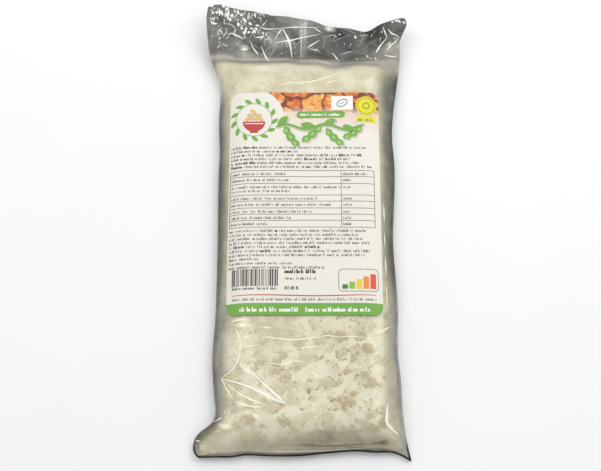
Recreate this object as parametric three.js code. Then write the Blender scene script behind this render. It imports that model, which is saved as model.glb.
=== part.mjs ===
// A cake of tempeh sealed in a clear film bag, lying on its back with its paper label up.
// Millimetres. x runs across the pack, y along it towards the loose end of the bag, and z is up.
import * as THREE from "three";
import { mergeVertices } from "three/addons/utils/BufferGeometryUtils.js";

const { lerp, clamp, smoothstep } = THREE.MathUtils;
const FULL_TURN = 2 * Math.PI;

// ---- The filled part of the bag ----
const PACK_HEIGHT = 16.5; // over the middle of the cake
const FOLD_HEIGHT = 6; // where the upper and the lower film meet along the sides
const CAKE_END = 127; // y at which the cake stops and the empty end of the bag starts
const SIDE_SLACK = 1.5; // flat film outside the cake along each side
const SEALED_END_SLACK = 3; // and along the sealed end
const SIDE_RUN = 20; // how far in from a side the upper film is still rising
const SEALED_END_RUN = 21;
const LOOSE_END_RUN = 13;
const UNDERSIDE_RUN = 6; // how far in from any edge the lower film reaches the table
const SHOULDER_ROUNDNESS = 2.3; // a higher number gives a flatter top and steeper sides
const SHOULDER_FULLNESS = 0.85;

// ---- The film ----
const EMPTY_THICKNESS = 1; // both layers and the air between them, where the bag is empty
const BACK_SEAM = { left: -8.5, right: 2.5, proud: 0.4, step: 0.5 }; // strip along the underside

// ---- The label ----
const LABEL = {
  width: 95.8,
  length: 149.2,
  x: -0.9,
  y: 23.4,
  corner: 5,
  thickness: 0.25,
  clearance: 0.35,
};

// ---- How finely each skin is divided ----
const COLUMNS = { left: 14, seam: 2, right: 16, towardsEdge: 1.3 };
const ROWS = [
  { upTo: 0.28, count: 22 },
  { upTo: 0.8, count: 18 },
  { upTo: 1, count: 20 },
];
const LABEL_COLUMNS = 22;
const LABEL_ROWS = 20;

// A smooth line through pairs of a place and the value there, in rising order of place.
function lineThrough(pairs) {
  const places = pairs.map(([place]) => place);
  const values = pairs.map(([, value]) => value);
  const line = new THREE.CubicInterpolant(places, values, 1);
  return (place) => line.evaluate(place)[0];
}

// The outline of the bag seen from above. Each side is given as x at a y, and each end as y at an x.
const leftSide = lineThrough([
  [-135, -64.3],
  [-132.5, -66.6],
  [-127, -67.2],
  [-122.5, -65.6],
  [-119.4, -62.8],
  [-115.6, -56],
  [-111.9, -54.2],
  [-98, -55.2],
  [-78, -56.8],
  [-50, -55.5],
  [0, -55.3],
  [45, -55.7],
  [60, -55.3],
  [80, -56.5],
  [98, -55.7],
  [107, -56.6],
  [116, -59.8],
  [128, -63.2],
  [142, -65],
  [154, -65.6],
  [162.2, -64.8],
]);
const rightSide = lineThrough([
  [-137.4, 62.5],
  [-130, 60.4],
  [-124, 59.2],
  [-115, 57.8],
  [-90, 56.9],
  [-76, 55.6],
  [-45, 56.4],
  [0, 54.5],
  [15, 55.4],
  [50, 56.9],
  [70, 55.6],
  [85, 56.7],
  [104, 59.3],
  [118, 61.3],
  [130, 62.3],
  [139, 62.4],
  [144, 64.6],
  [148.5, 67],
  [154, 65.7],
]);
const sealedEnd = lineThrough([
  [-67.2, -135],
  [-50, -134.8],
  [-43, -134.8],
  [-37, -133.5],
  [-24, -134.1],
  [-5, -134.1],
  [12, -132.5],
  [30, -131.2],
  [41, -132.1],
  [51, -131.9],
  [57, -134.1],
  [62.5, -137.4],
]);
const looseEnd = lineThrough([
  [-64.8, 162.2],
  [-59, 164.9],
  [-51, 164],
  [-39, 163.1],
  [-27, 160.9],
  [-3, 158],
  [5, 156.6],
  [13, 153.2],
  [21, 152.5],
  [29, 152.2],
  [37, 150.5],
  [41, 149.7],
  [49.5, 153.5],
  [57.7, 154.4],
  [65.7, 154],
]);
const LEFT_CORNERS = [-135, 162.2]; // y of the two corners on the left
const RIGHT_CORNERS = [-137.4, 154];

// How high the two ends of the bag curl, as z at an x.
const looseEndCurl = lineThrough([
  [-66, 16],
  [-50, 12],
  [-30, 8.5],
  [0, 7],
  [20, 5.5],
  [39, 3],
  [50, 7],
  [60, 13],
  [67, 15],
]);
const sealedEndCurl = lineThrough([
  [-67, 3],
  [-50, 3.2],
  [0, 3.6],
  [50, 3],
  [62.5, 1.5],
]);
const SEALED_END_DROP = -112; // y from which the film slopes down to the sealed end

// Sharp folds in the upper film, each a straight ridge that fades towards its second end.
const RIDGES = [
  { from: [-50.7, -89.6], to: [-12, -105], height: 1.3, width: 3.2 },
  { from: [-40.6, -80.2], to: [-12, -105], height: 1, width: 3 },
  { from: [-50.7, -89.6], to: [-25.1, -105.9], height: 1, width: 3 },
  { from: [-40.1, -74.4], to: [-50.3, -89.3], height: 0.9, width: 3 },
  { from: [49.5, -57.8], to: [-27, -64], height: 0.6, width: 3 },
];
const RIDGE_FADE = 0.75; // the share of its height that a ridge loses along its length

// The crumpled empty film: sets of straight creases laid over each other, each turned on from
// the set before it, and wider and deeper.
const CREASE_SETS = 5;
const FIRST_CREASES = { angle: 0.4, spacing: 17, depth: 0.42 };
const NEXT_CREASES = { turned: 2.4, wider: 5, deeper: 0.13 };
const CREASES = Array.from({ length: CREASE_SETS }, (_, k) => ({
  angle: FIRST_CREASES.angle + k * NEXT_CREASES.turned,
  spacing: FIRST_CREASES.spacing + k * NEXT_CREASES.wider,
  depth: FIRST_CREASES.depth + k * NEXT_CREASES.deeper,
}));
const CRUMPLE_START = CAKE_END - 6; // y at which the film starts to crumple
const CRUMPLE_FULL = CAKE_END + 9; // and at which it is crumpled fully
const CRUMPLE = { left: 1, right: 0.55, leftUpTo: -30, rightFrom: 20 }; // most on the left
const LUMP = { height: 0.22, across: 8.5, along: 11, phase: 1 }; // the cake's own uneven top

// From 0 at the foot of a shoulder to 1 on the flat behind it.
function shoulder(distance, run) {
  const share = clamp(distance / run, 0, 1);
  return (1 - (1 - share) ** SHOULDER_ROUNDNESS) ** SHOULDER_FULLNESS;
}

// How far a point lies inside the filled part, from each of its four edges.
function distancesIn(x, y) {
  return {
    left: x - leftSide(y) - SIDE_SLACK,
    right: rightSide(y) - x - SIDE_SLACK,
    sealed: y - sealedEnd(x) - SEALED_END_SLACK,
    loose: CAKE_END - y,
  };
}

// Height of the surface half way between the two layers of film.
function middleHeight(x, y) {
  const looseShare = smoothstep(y, CAKE_END - LOOSE_END_RUN, looseEnd(x));
  const sealedShare = smoothstep(-y, -SEALED_END_DROP, -sealedEnd(x));
  const curl = looseShare * (looseEndCurl(x) - FOLD_HEIGHT);
  const drop = sealedShare * (sealedEndCurl(x) - FOLD_HEIGHT);
  const crumpled = crumple(x, y) * smoothstep(y, CRUMPLE_START, CRUMPLE_FULL);
  return FOLD_HEIGHT + curl + drop + crumpled;
}

// Straight lines between 1 at every whole number and -1 half way to the next.
function zigzag(place) {
  return 4 * Math.abs(place - Math.floor(place) - 0.5) - 1;
}

function crumple(x, y) {
  let height = 0;
  for (const { angle, spacing, depth } of CREASES) {
    height += depth * zigzag((x * Math.cos(angle) + y * Math.sin(angle)) / spacing);
  }
  const rightShare = smoothstep(x, CRUMPLE.leftUpTo, CRUMPLE.rightFrom);
  return height * lerp(CRUMPLE.left, CRUMPLE.right, rightShare);
}

function ridges(x, y) {
  let height = 0;
  for (const ridge of RIDGES) {
    const start = new THREE.Vector3(...ridge.from, 0);
    const line = new THREE.Line3(start, new THREE.Vector3(...ridge.to, 0));
    const point = new THREE.Vector3(x, y, 0);
    const share = line.closestPointToPointParameter(point, true);
    const away = line.at(share, new THREE.Vector3()).distanceTo(point) / ridge.width;
    height = Math.max(height, ridge.height * (1 - RIDGE_FADE * share) * Math.max(1 - away, 0));
  }
  return height;
}

function upperFilm(x, y) {
  const d = distancesIn(x, y);
  const full =
    shoulder(d.left, SIDE_RUN) *
    shoulder(d.right, SIDE_RUN) *
    shoulder(d.sealed, SEALED_END_RUN) *
    shoulder(d.loose, LOOSE_END_RUN);
  const lumps = LUMP.height * Math.sin(x / LUMP.across + LUMP.phase) * Math.cos(y / LUMP.along);
  const relief = (lumps + ridges(x, y)) * full;
  const rise = PACK_HEIGHT - FOLD_HEIGHT - EMPTY_THICKNESS / 2;
  return middleHeight(x, y) + EMPTY_THICKNESS / 2 + rise * full + relief;
}

function lowerFilm(x, y, besideSeam) {
  const d = distancesIn(x, y);
  const flat =
    shoulder(d.left, UNDERSIDE_RUN) *
    shoulder(d.right, UNDERSIDE_RUN) *
    shoulder(d.sealed, UNDERSIDE_RUN) *
    shoulder(d.loose, UNDERSIDE_RUN);
  const sag = (middleHeight(x, y) - EMPTY_THICKNESS / 2) * (1 - flat);
  return sag + (besideSeam ? BACK_SEAM.proud : 0);
}

// A thin closed sheet: a flat box, divided into columns and rows, whose every corner is moved to
// where place(column, row, isUpper) says.
function sheet(columns, rows, place) {
  const box = new THREE.BoxGeometry(1, 1, 1, columns, rows, 1);
  box.deleteAttribute("normal");
  box.deleteAttribute("uv");
  const geometry = mergeVertices(box);
  const corners = geometry.attributes.position;
  for (let k = 0; k < corners.count; k++) {
    const column = Math.round((corners.getX(k) + 0.5) * columns);
    const row = Math.round((corners.getY(k) + 0.5) * rows);
    corners.setXYZ(k, ...place(column, row, corners.getZ(k) > 0));
  }
  geometry.computeVertexNormals();
  return geometry;
}

// Columns close up towards both sides, and four of them follow the edges of the back seam.
function columnX(column, left, right) {
  const seamStart = COLUMNS.left + 1;
  const seamStop = seamStart + COLUMNS.seam;
  if (column <= COLUMNS.left)
    return lerp(left, BACK_SEAM.left - BACK_SEAM.step, (column / COLUMNS.left) ** COLUMNS.towardsEdge);
  if (column <= seamStop)
    return lerp(BACK_SEAM.left, BACK_SEAM.right, (column - seamStart) / COLUMNS.seam);
  const fromRight = (seamStop + 1 + COLUMNS.right - column) / COLUMNS.right;
  return lerp(right, BACK_SEAM.right + BACK_SEAM.step, fromRight ** COLUMNS.towardsEdge);
}

// The share of the pack's length at which a row lies.
function rowShare(row) {
  let first = 0;
  let from = 0;
  for (const { upTo, count } of ROWS) {
    if (row <= first + count) return lerp(from, upTo, (row - first) / count);
    first += count;
    from = upTo;
  }
  return 1;
}

function filledBag() {
  const columns = COLUMNS.left + COLUMNS.seam + COLUMNS.right + 2;
  const rows = ROWS.reduce((sum, { count }) => sum + count, 0);
  return sheet(columns, rows, (column, row, isUpper) => {
    const share = rowShare(row);
    const left = leftSide(lerp(...LEFT_CORNERS, share));
    const right = rightSide(lerp(...RIGHT_CORNERS, share));
    const x = columnX(column, left, right);
    const y = lerp(sealedEnd(x), looseEnd(x), share);
    const besideSeam = column <= COLUMNS.left || column >= columns - COLUMNS.right;
    return [x, y, isUpper ? upperFilm(x, y) : lowerFilm(x, y, besideSeam)];
  });
}

// A rounded rectangle of paper that follows the film under it.
function label() {
  const { corner, width, length, thickness, clearance } = LABEL;
  return sheet(LABEL_COLUMNS, LABEL_ROWS, (column, row, isUpper) => {
    const share = row / LABEL_ROWS;
    // Rows close up towards both ends, where the corners are.
    const along = (share - Math.sin(FULL_TURN * share) / FULL_TURN - 0.5) * length;
    const intoCorner = corner - Math.min(length / 2 - Math.abs(along), corner);
    const halfWidth = width / 2 - corner + Math.sqrt(corner ** 2 - intoCorner ** 2);
    const x = LABEL.x + (column / LABEL_COLUMNS - 0.5) * 2 * halfWidth;
    const y = LABEL.y + along;
    return [x, y, upperFilm(x, y) + clearance + (isUpper ? thickness : 0)];
  });
}

function part(name, geometry, material) {
  const mesh = new THREE.Mesh(geometry, material);
  mesh.name = name;
  return mesh;
}

const cakeUnderFilm = new THREE.MeshStandardMaterial({ color: 0xd6d0b4, roughness: 0.3, metalness: 0 });
const paper = new THREE.MeshStandardMaterial({ color: 0xebe9e2, roughness: 0.55, metalness: 0 });

const pack = new THREE.Group();
pack.add(part("bagged_cake", filledBag(), cakeUnderFilm), part("label", label(), paper));

// The origin is under the middle of the pack's bounding box.
const middle = new THREE.Box3().setFromObject(pack).getCenter(new THREE.Vector3());
pack.position.set(-middle.x, -middle.y, 0);

export default pack;
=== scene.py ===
"""A cake of tempeh sealed in a clear film bag, lying on its back with its paper label up.

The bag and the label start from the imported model. Lengths written in millimetres are turned into
metres with MM. Places on the pack are given in millimetres from ZERO, x across it and y along it
towards its empty end. On the label, u runs from its left edge and v from its top edge.
"""

import math
import random

import bmesh
import bpy
from bpy.props import FloatProperty, FloatVectorProperty, PointerProperty
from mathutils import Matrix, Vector
from mathutils.bvhtree import BVHTree
from mathutils.kdtree import KDTree
from mathutils.noise import noise_vector


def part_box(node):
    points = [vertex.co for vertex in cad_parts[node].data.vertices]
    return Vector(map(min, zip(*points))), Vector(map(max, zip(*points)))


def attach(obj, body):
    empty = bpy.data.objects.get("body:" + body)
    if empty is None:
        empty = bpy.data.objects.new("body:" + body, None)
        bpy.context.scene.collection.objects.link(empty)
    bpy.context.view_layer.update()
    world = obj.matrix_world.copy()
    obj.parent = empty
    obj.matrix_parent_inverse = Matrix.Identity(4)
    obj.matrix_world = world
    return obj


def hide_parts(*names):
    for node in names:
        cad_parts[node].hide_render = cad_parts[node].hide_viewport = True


bl_info = {
    "name": "Tempeh Pack",
    "version": (1, 0, 0),
    "blender": (4, 5, 0),
    "location": "View3D > Sidebar > Tempeh Pack",
    "description": "Dresses a packed cake of tempeh with film, felted beans and a printed label",
    "category": "Object",
}

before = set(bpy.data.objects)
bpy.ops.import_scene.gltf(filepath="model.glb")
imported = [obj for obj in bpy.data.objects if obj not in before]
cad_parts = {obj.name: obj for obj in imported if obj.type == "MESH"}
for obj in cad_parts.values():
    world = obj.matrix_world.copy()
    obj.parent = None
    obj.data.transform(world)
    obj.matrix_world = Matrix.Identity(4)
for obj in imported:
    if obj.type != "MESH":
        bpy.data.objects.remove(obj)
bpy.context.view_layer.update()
BAG_LOW, BAG_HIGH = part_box("bagged_cake")
LABEL_LOW, LABEL_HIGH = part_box("label")
MM = 0.001
LABEL_MIDDLE = (-0.9, 23.4)  # the label's middle, measured from ZERO
ZERO = ((LABEL_LOW + LABEL_HIGH) / 2).xy.to_3d() - Vector((*LABEL_MIDDLE, 0)) * MM


def srgb(red, green, blue):
    """A colour as shown on a screen, from 0 to 255, as the linear colour that materials take."""
    shares = (red / 255, green / 255, blue / 255)
    return tuple(s / 12.92 if s < 0.04045 else ((s + 0.055) / 1.055) ** 2.4 for s in shares)


def color_property(name, description, color):
    return FloatVectorProperty(
        name=name, description=description, subtype="COLOR", size=3, min=0, max=1, default=srgb(*color)
    )


def length_property(name, description, millimetres):
    return FloatProperty(
        name=name, description=description, subtype="DISTANCE", unit="LENGTH", default=millimetres * MM
    )


def share_property(name, description, share):
    return FloatProperty(name=name, description=description, subtype="FACTOR", min=0, max=1, default=share)


class TempehCakeProperties(bpy.types.PropertyGroup):
    """Sizes and colours of the cake itself."""

    side_gap: length_property("Side gap", "Slack film beside the cake", 1.3)
    top_gap: length_property("Top gap", "Air under the upper film", 0.45)
    loose_end: length_property("Loose end", "Where along the pack the cake stops", 127.5)
    bean: length_property("Bean", "How far apart the beans lie", 6.6)
    relief: length_property("Relief", "How far the beans stand out of the felt", 0.35)
    felt_color: color_property("Felt", "The white felt that binds the beans", (232, 225, 197))
    cloud_color: color_property("Thin felt", "Felt that is a little thinner", (214, 204, 170))
    vein_color: color_property("Veins", "Thick felt between the beans", (238, 232, 205))
    shade_color: color_property("Covered beans", "Beans just under the felt", (197, 187, 153))
    bean_color: color_property("Bare beans", "Beans that show through", (191, 170, 132))
    # Painted shade on the cake's end, darkening the slope that faces the key lamp.
    end_shade_color: color_property("End", "Thin felt at the end towards the empty film", (200, 194, 168))
    # Painted shade in the narrow gaps round the beans, which the relief also sinks.
    gap_shade_color: color_property("Gaps", "Short shaded gaps round the beans", (168, 159, 130))


class TempehFilmProperties(bpy.types.PropertyGroup):
    """The film's looks."""

    smoke_and_shade: share_property("Smoke", "How much of what is behind it slack film hides", 0.62)
    veil: share_property("Veil", "How much tight film hides", 0.02)
    gloss: share_property("Gloss", "How much one layer mirrors when seen square on", 0.036)
    rim_gloss: share_property("Rim gloss", "How much more it mirrors when seen edge on", 0.25)
    # This colour is also the painted shade over the cake's shoulders and at the front's foot.
    smoke_color: color_property("Smoke", "Empty film and the film's rim", (40, 41, 40))
    haze_color: color_property("Haze", "Slack film beside the cake", (177, 173, 163))
    front_haze_color: color_property("Front haze", "Slack film before the cake's front", (174, 166, 143))
    # Painted highlights: near white strokes that stand for the light caught by the film's folds.
    crease_highlight_color: color_property("Creases", "Sharp folds of the empty film", (252, 252, 246))
    tight_crease_highlight_color: color_property("Tight creases", "Sharp folds over the cake", (255, 252, 230))
    fold_shade_color: color_property("Fold shade", "The shaded side of a fold", (96, 95, 88))
    crumple: length_property("Crumple", "How deep the small creases of the empty end are", 0.45)


class TempehLabelProperties(bpy.types.PropertyGroup):
    """The label's paper and inks."""

    sink: length_property("Sink", "How far the label lies below its solid, so that it touches the film", 0.25)
    paper_color: color_property("Paper", "Bare paper", (235, 231, 219))
    green: color_property("Green", "Band, sprig and leaves", (116, 170, 70))
    text_color: color_property("Text", "Small print", (92, 88, 84))
    red: color_property("Red", "Bowl and ruled line", (190, 62, 58))


class TempehStageProperties(bpy.types.PropertyGroup):
    """Floor, light and camera."""

    floor_color: color_property("Floor", "Pale floor", (251, 251, 250))
    daylight: FloatProperty(name="Daylight", description="Strength of the sky", default=0.63, min=0)
    elevation: FloatProperty(
        name="Elevation",
        description="How high the camera looks down from",
        subtype="ANGLE",
        default=math.radians(70),
    )
    distance: length_property("Distance", "From the camera to the pack", 743)
    lens: FloatProperty(name="Lens", description="Focal length in millimetres", default=72.06)


# ---- Working with objects ----


def select_only(*pieces):
    bpy.ops.object.select_all(action="DESELECT")
    for piece in pieces:
        piece.select_set(True)
    bpy.context.view_layer.objects.active = pieces[0]


def edit(piece, mode="FACE"):
    select_only(piece)
    bpy.ops.object.mode_set(mode="EDIT")
    bpy.ops.mesh.select_mode(type=mode)
    bpy.ops.mesh.select_all(action="SELECT")


def leave_edit():
    bpy.ops.object.mode_set(mode="OBJECT")


def apply(piece, kind, **settings):
    """Adds a modifier of that kind and applies it."""
    modifier = piece.modifiers.new(kind.title(), kind)
    for name, value in settings.items():
        setattr(modifier, name, value)
    select_only(piece)
    bpy.ops.object.modifier_apply(modifier=modifier.name)


def subdivide(piece):
    apply(piece, "SUBSURF", levels=2, render_levels=2)


def smooth(piece, bend=None):
    """Shades a piece smooth, apart from edges that bend by more degrees than that, if it's given."""
    select_only(piece)
    if bend:
        bpy.ops.object.shade_smooth_by_angle(angle=math.radians(bend))
    else:
        bpy.ops.object.shade_smooth()


def merged_copy(node, name):
    """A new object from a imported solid, with its loose triangles merged into quads."""
    piece = bpy.data.objects.new(name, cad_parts[node].data.copy())
    piece.data.name = name
    bpy.context.scene.collection.objects.link(piece)
    edit(piece)
    bpy.ops.mesh.customdata_custom_splitnormals_clear()
    bpy.ops.mesh.remove_doubles(threshold=0.001 * MM)
    bpy.ops.mesh.tris_convert_to_quads(face_threshold=math.pi, shape_threshold=math.pi)
    leave_edit()
    return piece


def smoothstep(value, start, stop):
    share = min(max((value - start) / (stop - start), 0), 1)
    return share * share * (3 - 2 * share)


def store(piece, name, values):
    attribute = piece.data.attributes.new(name, "FLOAT", "POINT")
    attribute.data.foreach_set("value", values)


def on_pack(x, y, z=0.0):
    """A place in metres from one in millimetres."""
    return ZERO + Vector((x, y, z)) * MM


def finish_piece(piece, material, slot, *replaced):
    """Gives a piece its material; the slot is not used. It moves with the pack, and the nodes it replaces are
    hidden.
    """
    piece.data.materials.clear()
    piece.data.materials.append(material)
    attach(piece, "root")
    if replaced:
        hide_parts(*replaced)


# ---- Working with nodes ----


class Wiring:
    """Adds nodes to a tree and joins them, for materials and for geometry alike."""

    def __init__(self, tree):
        self.tree = tree

    def add(self, kind, inputs=None, output=0, **settings):
        """A node's output. Inputs are given by name or number, as values or as outputs to join."""
        node = self.tree.nodes.new(kind)
        for name, value in settings.items():
            setattr(node, name, value)
        for name, value in (inputs or {}).items():
            if isinstance(value, bpy.types.NodeSocket):
                self.tree.links.new(value, node.inputs[name])
            else:
                node.inputs[name].default_value = value
        return node.outputs[output] if node.outputs else node

    def math(self, operation, *values):
        return self.add("ShaderNodeMath", dict(enumerate(values)), operation=operation)

    def times(self, value, *others):
        """The product of all the values."""
        for other in others:
            value = self.math("MULTIPLY", value, other)
        return value

    def minus(self, value, other):
        return self.math("SUBTRACT", value, other)

    def vector(self, operation, *values):
        return self.add("ShaderNodeVectorMath", dict(enumerate(values)), operation=operation)

    def scaled(self, vector, factor):
        return self.add("ShaderNodeVectorMath", {0: vector, "Scale": factor}, operation="SCALE")

    def split(self, vector):
        node = self.add("ShaderNodeSeparateXYZ", {0: vector}).node
        return node.outputs[0], node.outputs[1], node.outputs[2]

    def joined(self, x, y, z):
        return self.add("ShaderNodeCombineXYZ", {0: x, 1: y, 2: z})

    def step(self, value, start, stop, low=0.0, high=1.0):
        """Rises smoothly from low at start to high at stop."""
        turned = start > stop
        inputs = {"Value": value, 1: min(start, stop), 2: max(start, stop), 3: low, 4: high}
        if turned:
            inputs[3], inputs[4] = high, low
        return self.add("ShaderNodeMapRange", inputs, interpolation_type="SMOOTHSTEP")

    def mix(self, share, low, high, blend="MIX"):
        inputs = {0: share, 6: self.rgba(low), 7: self.rgba(high)}
        return self.add("ShaderNodeMix", inputs, output=2, data_type="RGBA", blend_type=blend)

    def rgba(self, color):
        return color if isinstance(color, bpy.types.NodeSocket) else (*color[:3], 1)

    def noise(self, place, size, detail=2.0, output=0):
        """Soft clouds of that size, round 0.5."""
        inputs = {"Vector": place, "Scale": 1 / size, "Detail": detail}
        return self.add("ShaderNodeTexNoise", inputs, output=output)

    def clouds(self, place, size, detail, *limits):
        """A mask of soft clouds, with limits as step takes them."""
        return self.step(self.noise(place, size, detail), *limits)

    def swayed(self, place, size, depth):
        """The place moved to and fro, in clouds of that size."""
        sway = self.vector("SUBTRACT", self.noise(place, size, output=1), (0.5, 0.5, 0.5))
        return self.vector("ADD", place, self.scaled(sway, depth))

    def cells(self, place, size, feature="F1", output=0):
        inputs = {"Vector": place, "Scale": 1 / size}
        return self.add("ShaderNodeTexVoronoi", inputs, output=output, feature=feature)

    def attribute(self, name):
        return self.add("ShaderNodeAttribute", output=2, attribute_name=name)

    def surface(self, color, roughness, others=None):
        """The shader of a surface, with any other inputs by their names."""
        inputs = {"Base Color": color, "Roughness": roughness, **(others or {})}
        return self.add("ShaderNodeBsdfPrincipled", inputs)


def from_zero(wiring, place):
    return wiring.scaled(wiring.vector("SUBTRACT", place, ZERO), 1 / MM)


def object_place(wiring):
    """A place on the piece, in millimetres from ZERO."""
    return from_zero(wiring, wiring.add("ShaderNodeTexCoord", output=3))


def new_material(name):
    material = bpy.data.materials.new(name)
    material.use_nodes = True
    material.node_tree.nodes.clear()
    return material, Wiring(material.node_tree)


def show(wiring, shader):
    wiring.add("ShaderNodeOutputMaterial", {"Surface": shader})


def bumped(wiring, height, depth, strength=1.0):
    """A normal from a height of 0 to 1 that stands for that depth."""
    return wiring.add("ShaderNodeBump", {"Height": height, "Distance": depth, "Strength": strength})


def geometry_tree(name):
    """Geometry nodes that take one geometry and give one."""
    tree = bpy.data.node_groups.new(name, "GeometryNodeTree")
    for direction in ("INPUT", "OUTPUT"):
        tree.interface.new_socket("Geometry", in_out=direction, socket_type="NodeSocketGeometry")
    return tree


def shape_by(piece, name, moves):
    """Moves every point of a piece by what moves(wiring, place in mm, normal) gives, in metres."""
    tree = geometry_tree(name)
    wiring = Wiring(tree)
    place = from_zero(wiring, wiring.add("GeometryNodeInputPosition"))
    offset = moves(wiring, place, wiring.add("GeometryNodeInputNormal"))
    start = wiring.add("NodeGroupInput")
    moved = wiring.add("GeometryNodeSetPosition", {"Geometry": start, "Offset": offset})
    wiring.add("NodeGroupOutput", {0: moved})
    apply(piece, "NODES", node_group=tree)


def named(wiring, name, kind="FLOAT"):
    return wiring.add("GeometryNodeInputNamedAttribute", {"Name": name}, data_type=kind)


# ---- The cake ----

# A pair of limits says where a mask starts and where it is full. Two more numbers say how much of
# it shows at the first limit and at the second. Places are in mm, and distances past a bean's rim
# are shares of the distance between beans.
BEAN_SWAY = (7, 7.5)  # size and depth
BEAN_SLANT = -0.45
BEAN_STRETCH = (0.74, 1, 1)
RADIUS = (0.24, 0.34)  # how much it varies, and the least one
FRAY = {"size": 3.4, "depth": 0.44}
BEANS = (0.16, -0.3)
BARE = {"kinds": (0.4, 0.28), "rim": (0.08, -0.26)}  # each bean has a kind, a number from 0 to 1
COVERED_KINDS = (0.9, 0.35)
VEINS = (0.02, 0.2)
GAPS = {"middle": 0.02, "reach": (0.16, 0)}
THREADS = {"clouds": (6.5, 1.5), "reach": (0.035, 0.005)}
# Clouds, with their size, their detail and their limits.
VEIN_CLOUDS = (9, 1, 0.42, 0.6)
GAP_CLOUDS = (2.8, 1, 0.5, 0.64)
THREAD_CLOUDS = (11, 1, 0.4, 0.55)
BARE_CLOUDS = (30, 2, 0.35, 0.6, 0.45, 1)
FELT_CLOUDS = (12, 3, 0.35, 0.65)
# Limits along and across the cake.
THIN_FELT = (20, -95, 0.3, 1)
MOST_BARE = (-50, -125, 0.55, 1)
BARE_SLANT = -0.6  # the bare beans reach further back on the right
OFF_FRONT = (-126, -112, 0.3, 1)
OFF_SIDES = ((52, 45, 0.3, 1), (-52, -42, 0.35, 1))
# Where the painted shade at the cake's end lies, along and across the cake.
END_SHADE = {"along": (107, 119, 0, 0.85), "across": (-52, -36, 0.1, 1)}
# Heights as shares of the whole relief. A grain has its size and its detail.
RELIEF = {"level": 0.6, "gap": -0.35, "felt": 0.5}
FELT_GRAIN = (1.8, 3)
FUZZ = {"grain": (0.9, 4), "roughness": (0.2, 0.8, 0.7, 0.95), "depth": 0.25, "strength": 0.6}


def bean_pattern(wiring, place, bean):
    """Masks of beans, veins, gaps and threads from a place in mm, for the relief and the colour."""
    inputs = {"Vector": wiring.swayed(place, *BEAN_SWAY), "Angle": BEAN_SLANT}
    turned = wiring.add("ShaderNodeVectorRotate", inputs, rotation_type="Z_AXIS")
    stretched = wiring.vector("MULTIPLY", turned, BEAN_STRETCH)
    kind, size, _unused = wiring.split(wiring.cells(stretched, bean, output=1))
    radius = wiring.math("MULTIPLY_ADD", size, *RADIUS)
    past_rim = wiring.minus(wiring.cells(stretched, bean), radius)
    least = wiring.minus(past_rim, FRAY["depth"] / 2)
    frayed = wiring.math("MULTIPLY_ADD", wiring.noise(place, FRAY["size"]), FRAY["depth"], least)
    inside = wiring.step(frayed, *BEANS)
    from_gap = wiring.math("ABSOLUTE", wiring.minus(past_rim, GAPS["middle"]))
    from_thread = wiring.math("ABSOLUTE", wiring.minus(wiring.noise(place, *THREADS["clouds"]), 0.5))
    threads = wiring.step(from_thread, *THREADS["reach"])
    return {
        "inside": inside,
        "bare": wiring.times(wiring.step(kind, *BARE["kinds"]), wiring.step(frayed, *BARE["rim"])),
        "covered": wiring.times(wiring.step(kind, *COVERED_KINDS), inside),
        "vein": wiring.times(wiring.step(past_rim, *VEINS), wiring.clouds(place, *VEIN_CLOUDS)),
        "gap": wiring.times(wiring.step(from_gap, *GAPS["reach"]), wiring.clouds(place, *GAP_CLOUDS)),
        "thread": wiring.times(threads, wiring.clouds(place, *THREAD_CLOUDS)),
    }


def cake_relief(cake):
    """Beans stand out softly, with narrow gaps along them and a fine felt over all."""

    def moves(wiring, place, normal):
        pattern = bean_pattern(wiring, place, cake.bean / MM)
        beans = wiring.minus(pattern["inside"], RELIEF["level"])
        felt = wiring.minus(wiring.noise(place, *FELT_GRAIN), 0.5)
        felted = wiring.math("MULTIPLY_ADD", felt, RELIEF["felt"], beans)
        height = wiring.math("ADD", felted, wiring.times(pattern["gap"], RELIEF["gap"]))
        return wiring.scaled(normal, wiring.times(height, cake.relief))

    return moves


def cake_material(cake):
    material, wiring = new_material("Felted beans")
    place = object_place(wiring)
    pattern = bean_pattern(wiring, place, cake.bean / MM)
    across, along, _up = wiring.split(place)
    thin_felt = wiring.step(along, *THIN_FELT)
    off_sides = [wiring.step(across, *limits) for limits in OFF_SIDES]
    off_edges = wiring.times(wiring.step(along, *OFF_FRONT), *off_sides)
    clear = wiring.times(thin_felt, off_edges, wiring.clouds(place, *BARE_CLOUDS))
    most_bare = wiring.step(wiring.math("MULTIPLY_ADD", across, BARE_SLANT, along), *MOST_BARE)
    color = wiring.mix(wiring.clouds(place, *FELT_CLOUDS), cake.felt_color, cake.cloud_color)
    # Painted shade darkens the end of the cake.
    end_shade = wiring.times(wiring.step(along, *END_SHADE["along"]), wiring.step(across, *END_SHADE["across"]))
    layers = (
        (wiring.times(pattern["covered"], clear), cake.shade_color),
        (wiring.times(pattern["thread"], thin_felt), cake.vein_color),
        (wiring.times(pattern["bare"], clear, most_bare), cake.bean_color),
        (wiring.times(pattern["vein"], clear), cake.vein_color),
        (wiring.times(pattern["gap"], clear), cake.gap_shade_color),
        (end_shade, cake.end_shade_color),
    )
    for share, seen in layers:
        color = wiring.mix(share, color, seen)
    fuzz = wiring.noise(place, *FUZZ["grain"])
    normal = bumped(wiring, fuzz, FUZZ["depth"] * MM, FUZZ["strength"])
    show(wiring, wiring.surface(color, wiring.step(fuzz, *FUZZ["roughness"]), {"Normal": normal}))
    return material


TIP_CUT = {"at": (61, -132.5), "facing": (0.8, -0.6)}  # the cake doesn't reach into the pointed tip
FILLED_HALF = 56  # half the width of the filled part of the bag
HALF_HEIGHT = 8.4
VOXEL = 1.1
CAKE_SMOOTHING = 12
FILM_GAP = 0.25


def cut(piece, at, facing):
    """Cuts off what lies beyond a plane and closes the cut."""
    edit(piece)
    bpy.ops.mesh.bisect(plane_co=at, plane_no=facing, use_fill=True, clear_outer=True)
    leave_edit()


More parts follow.
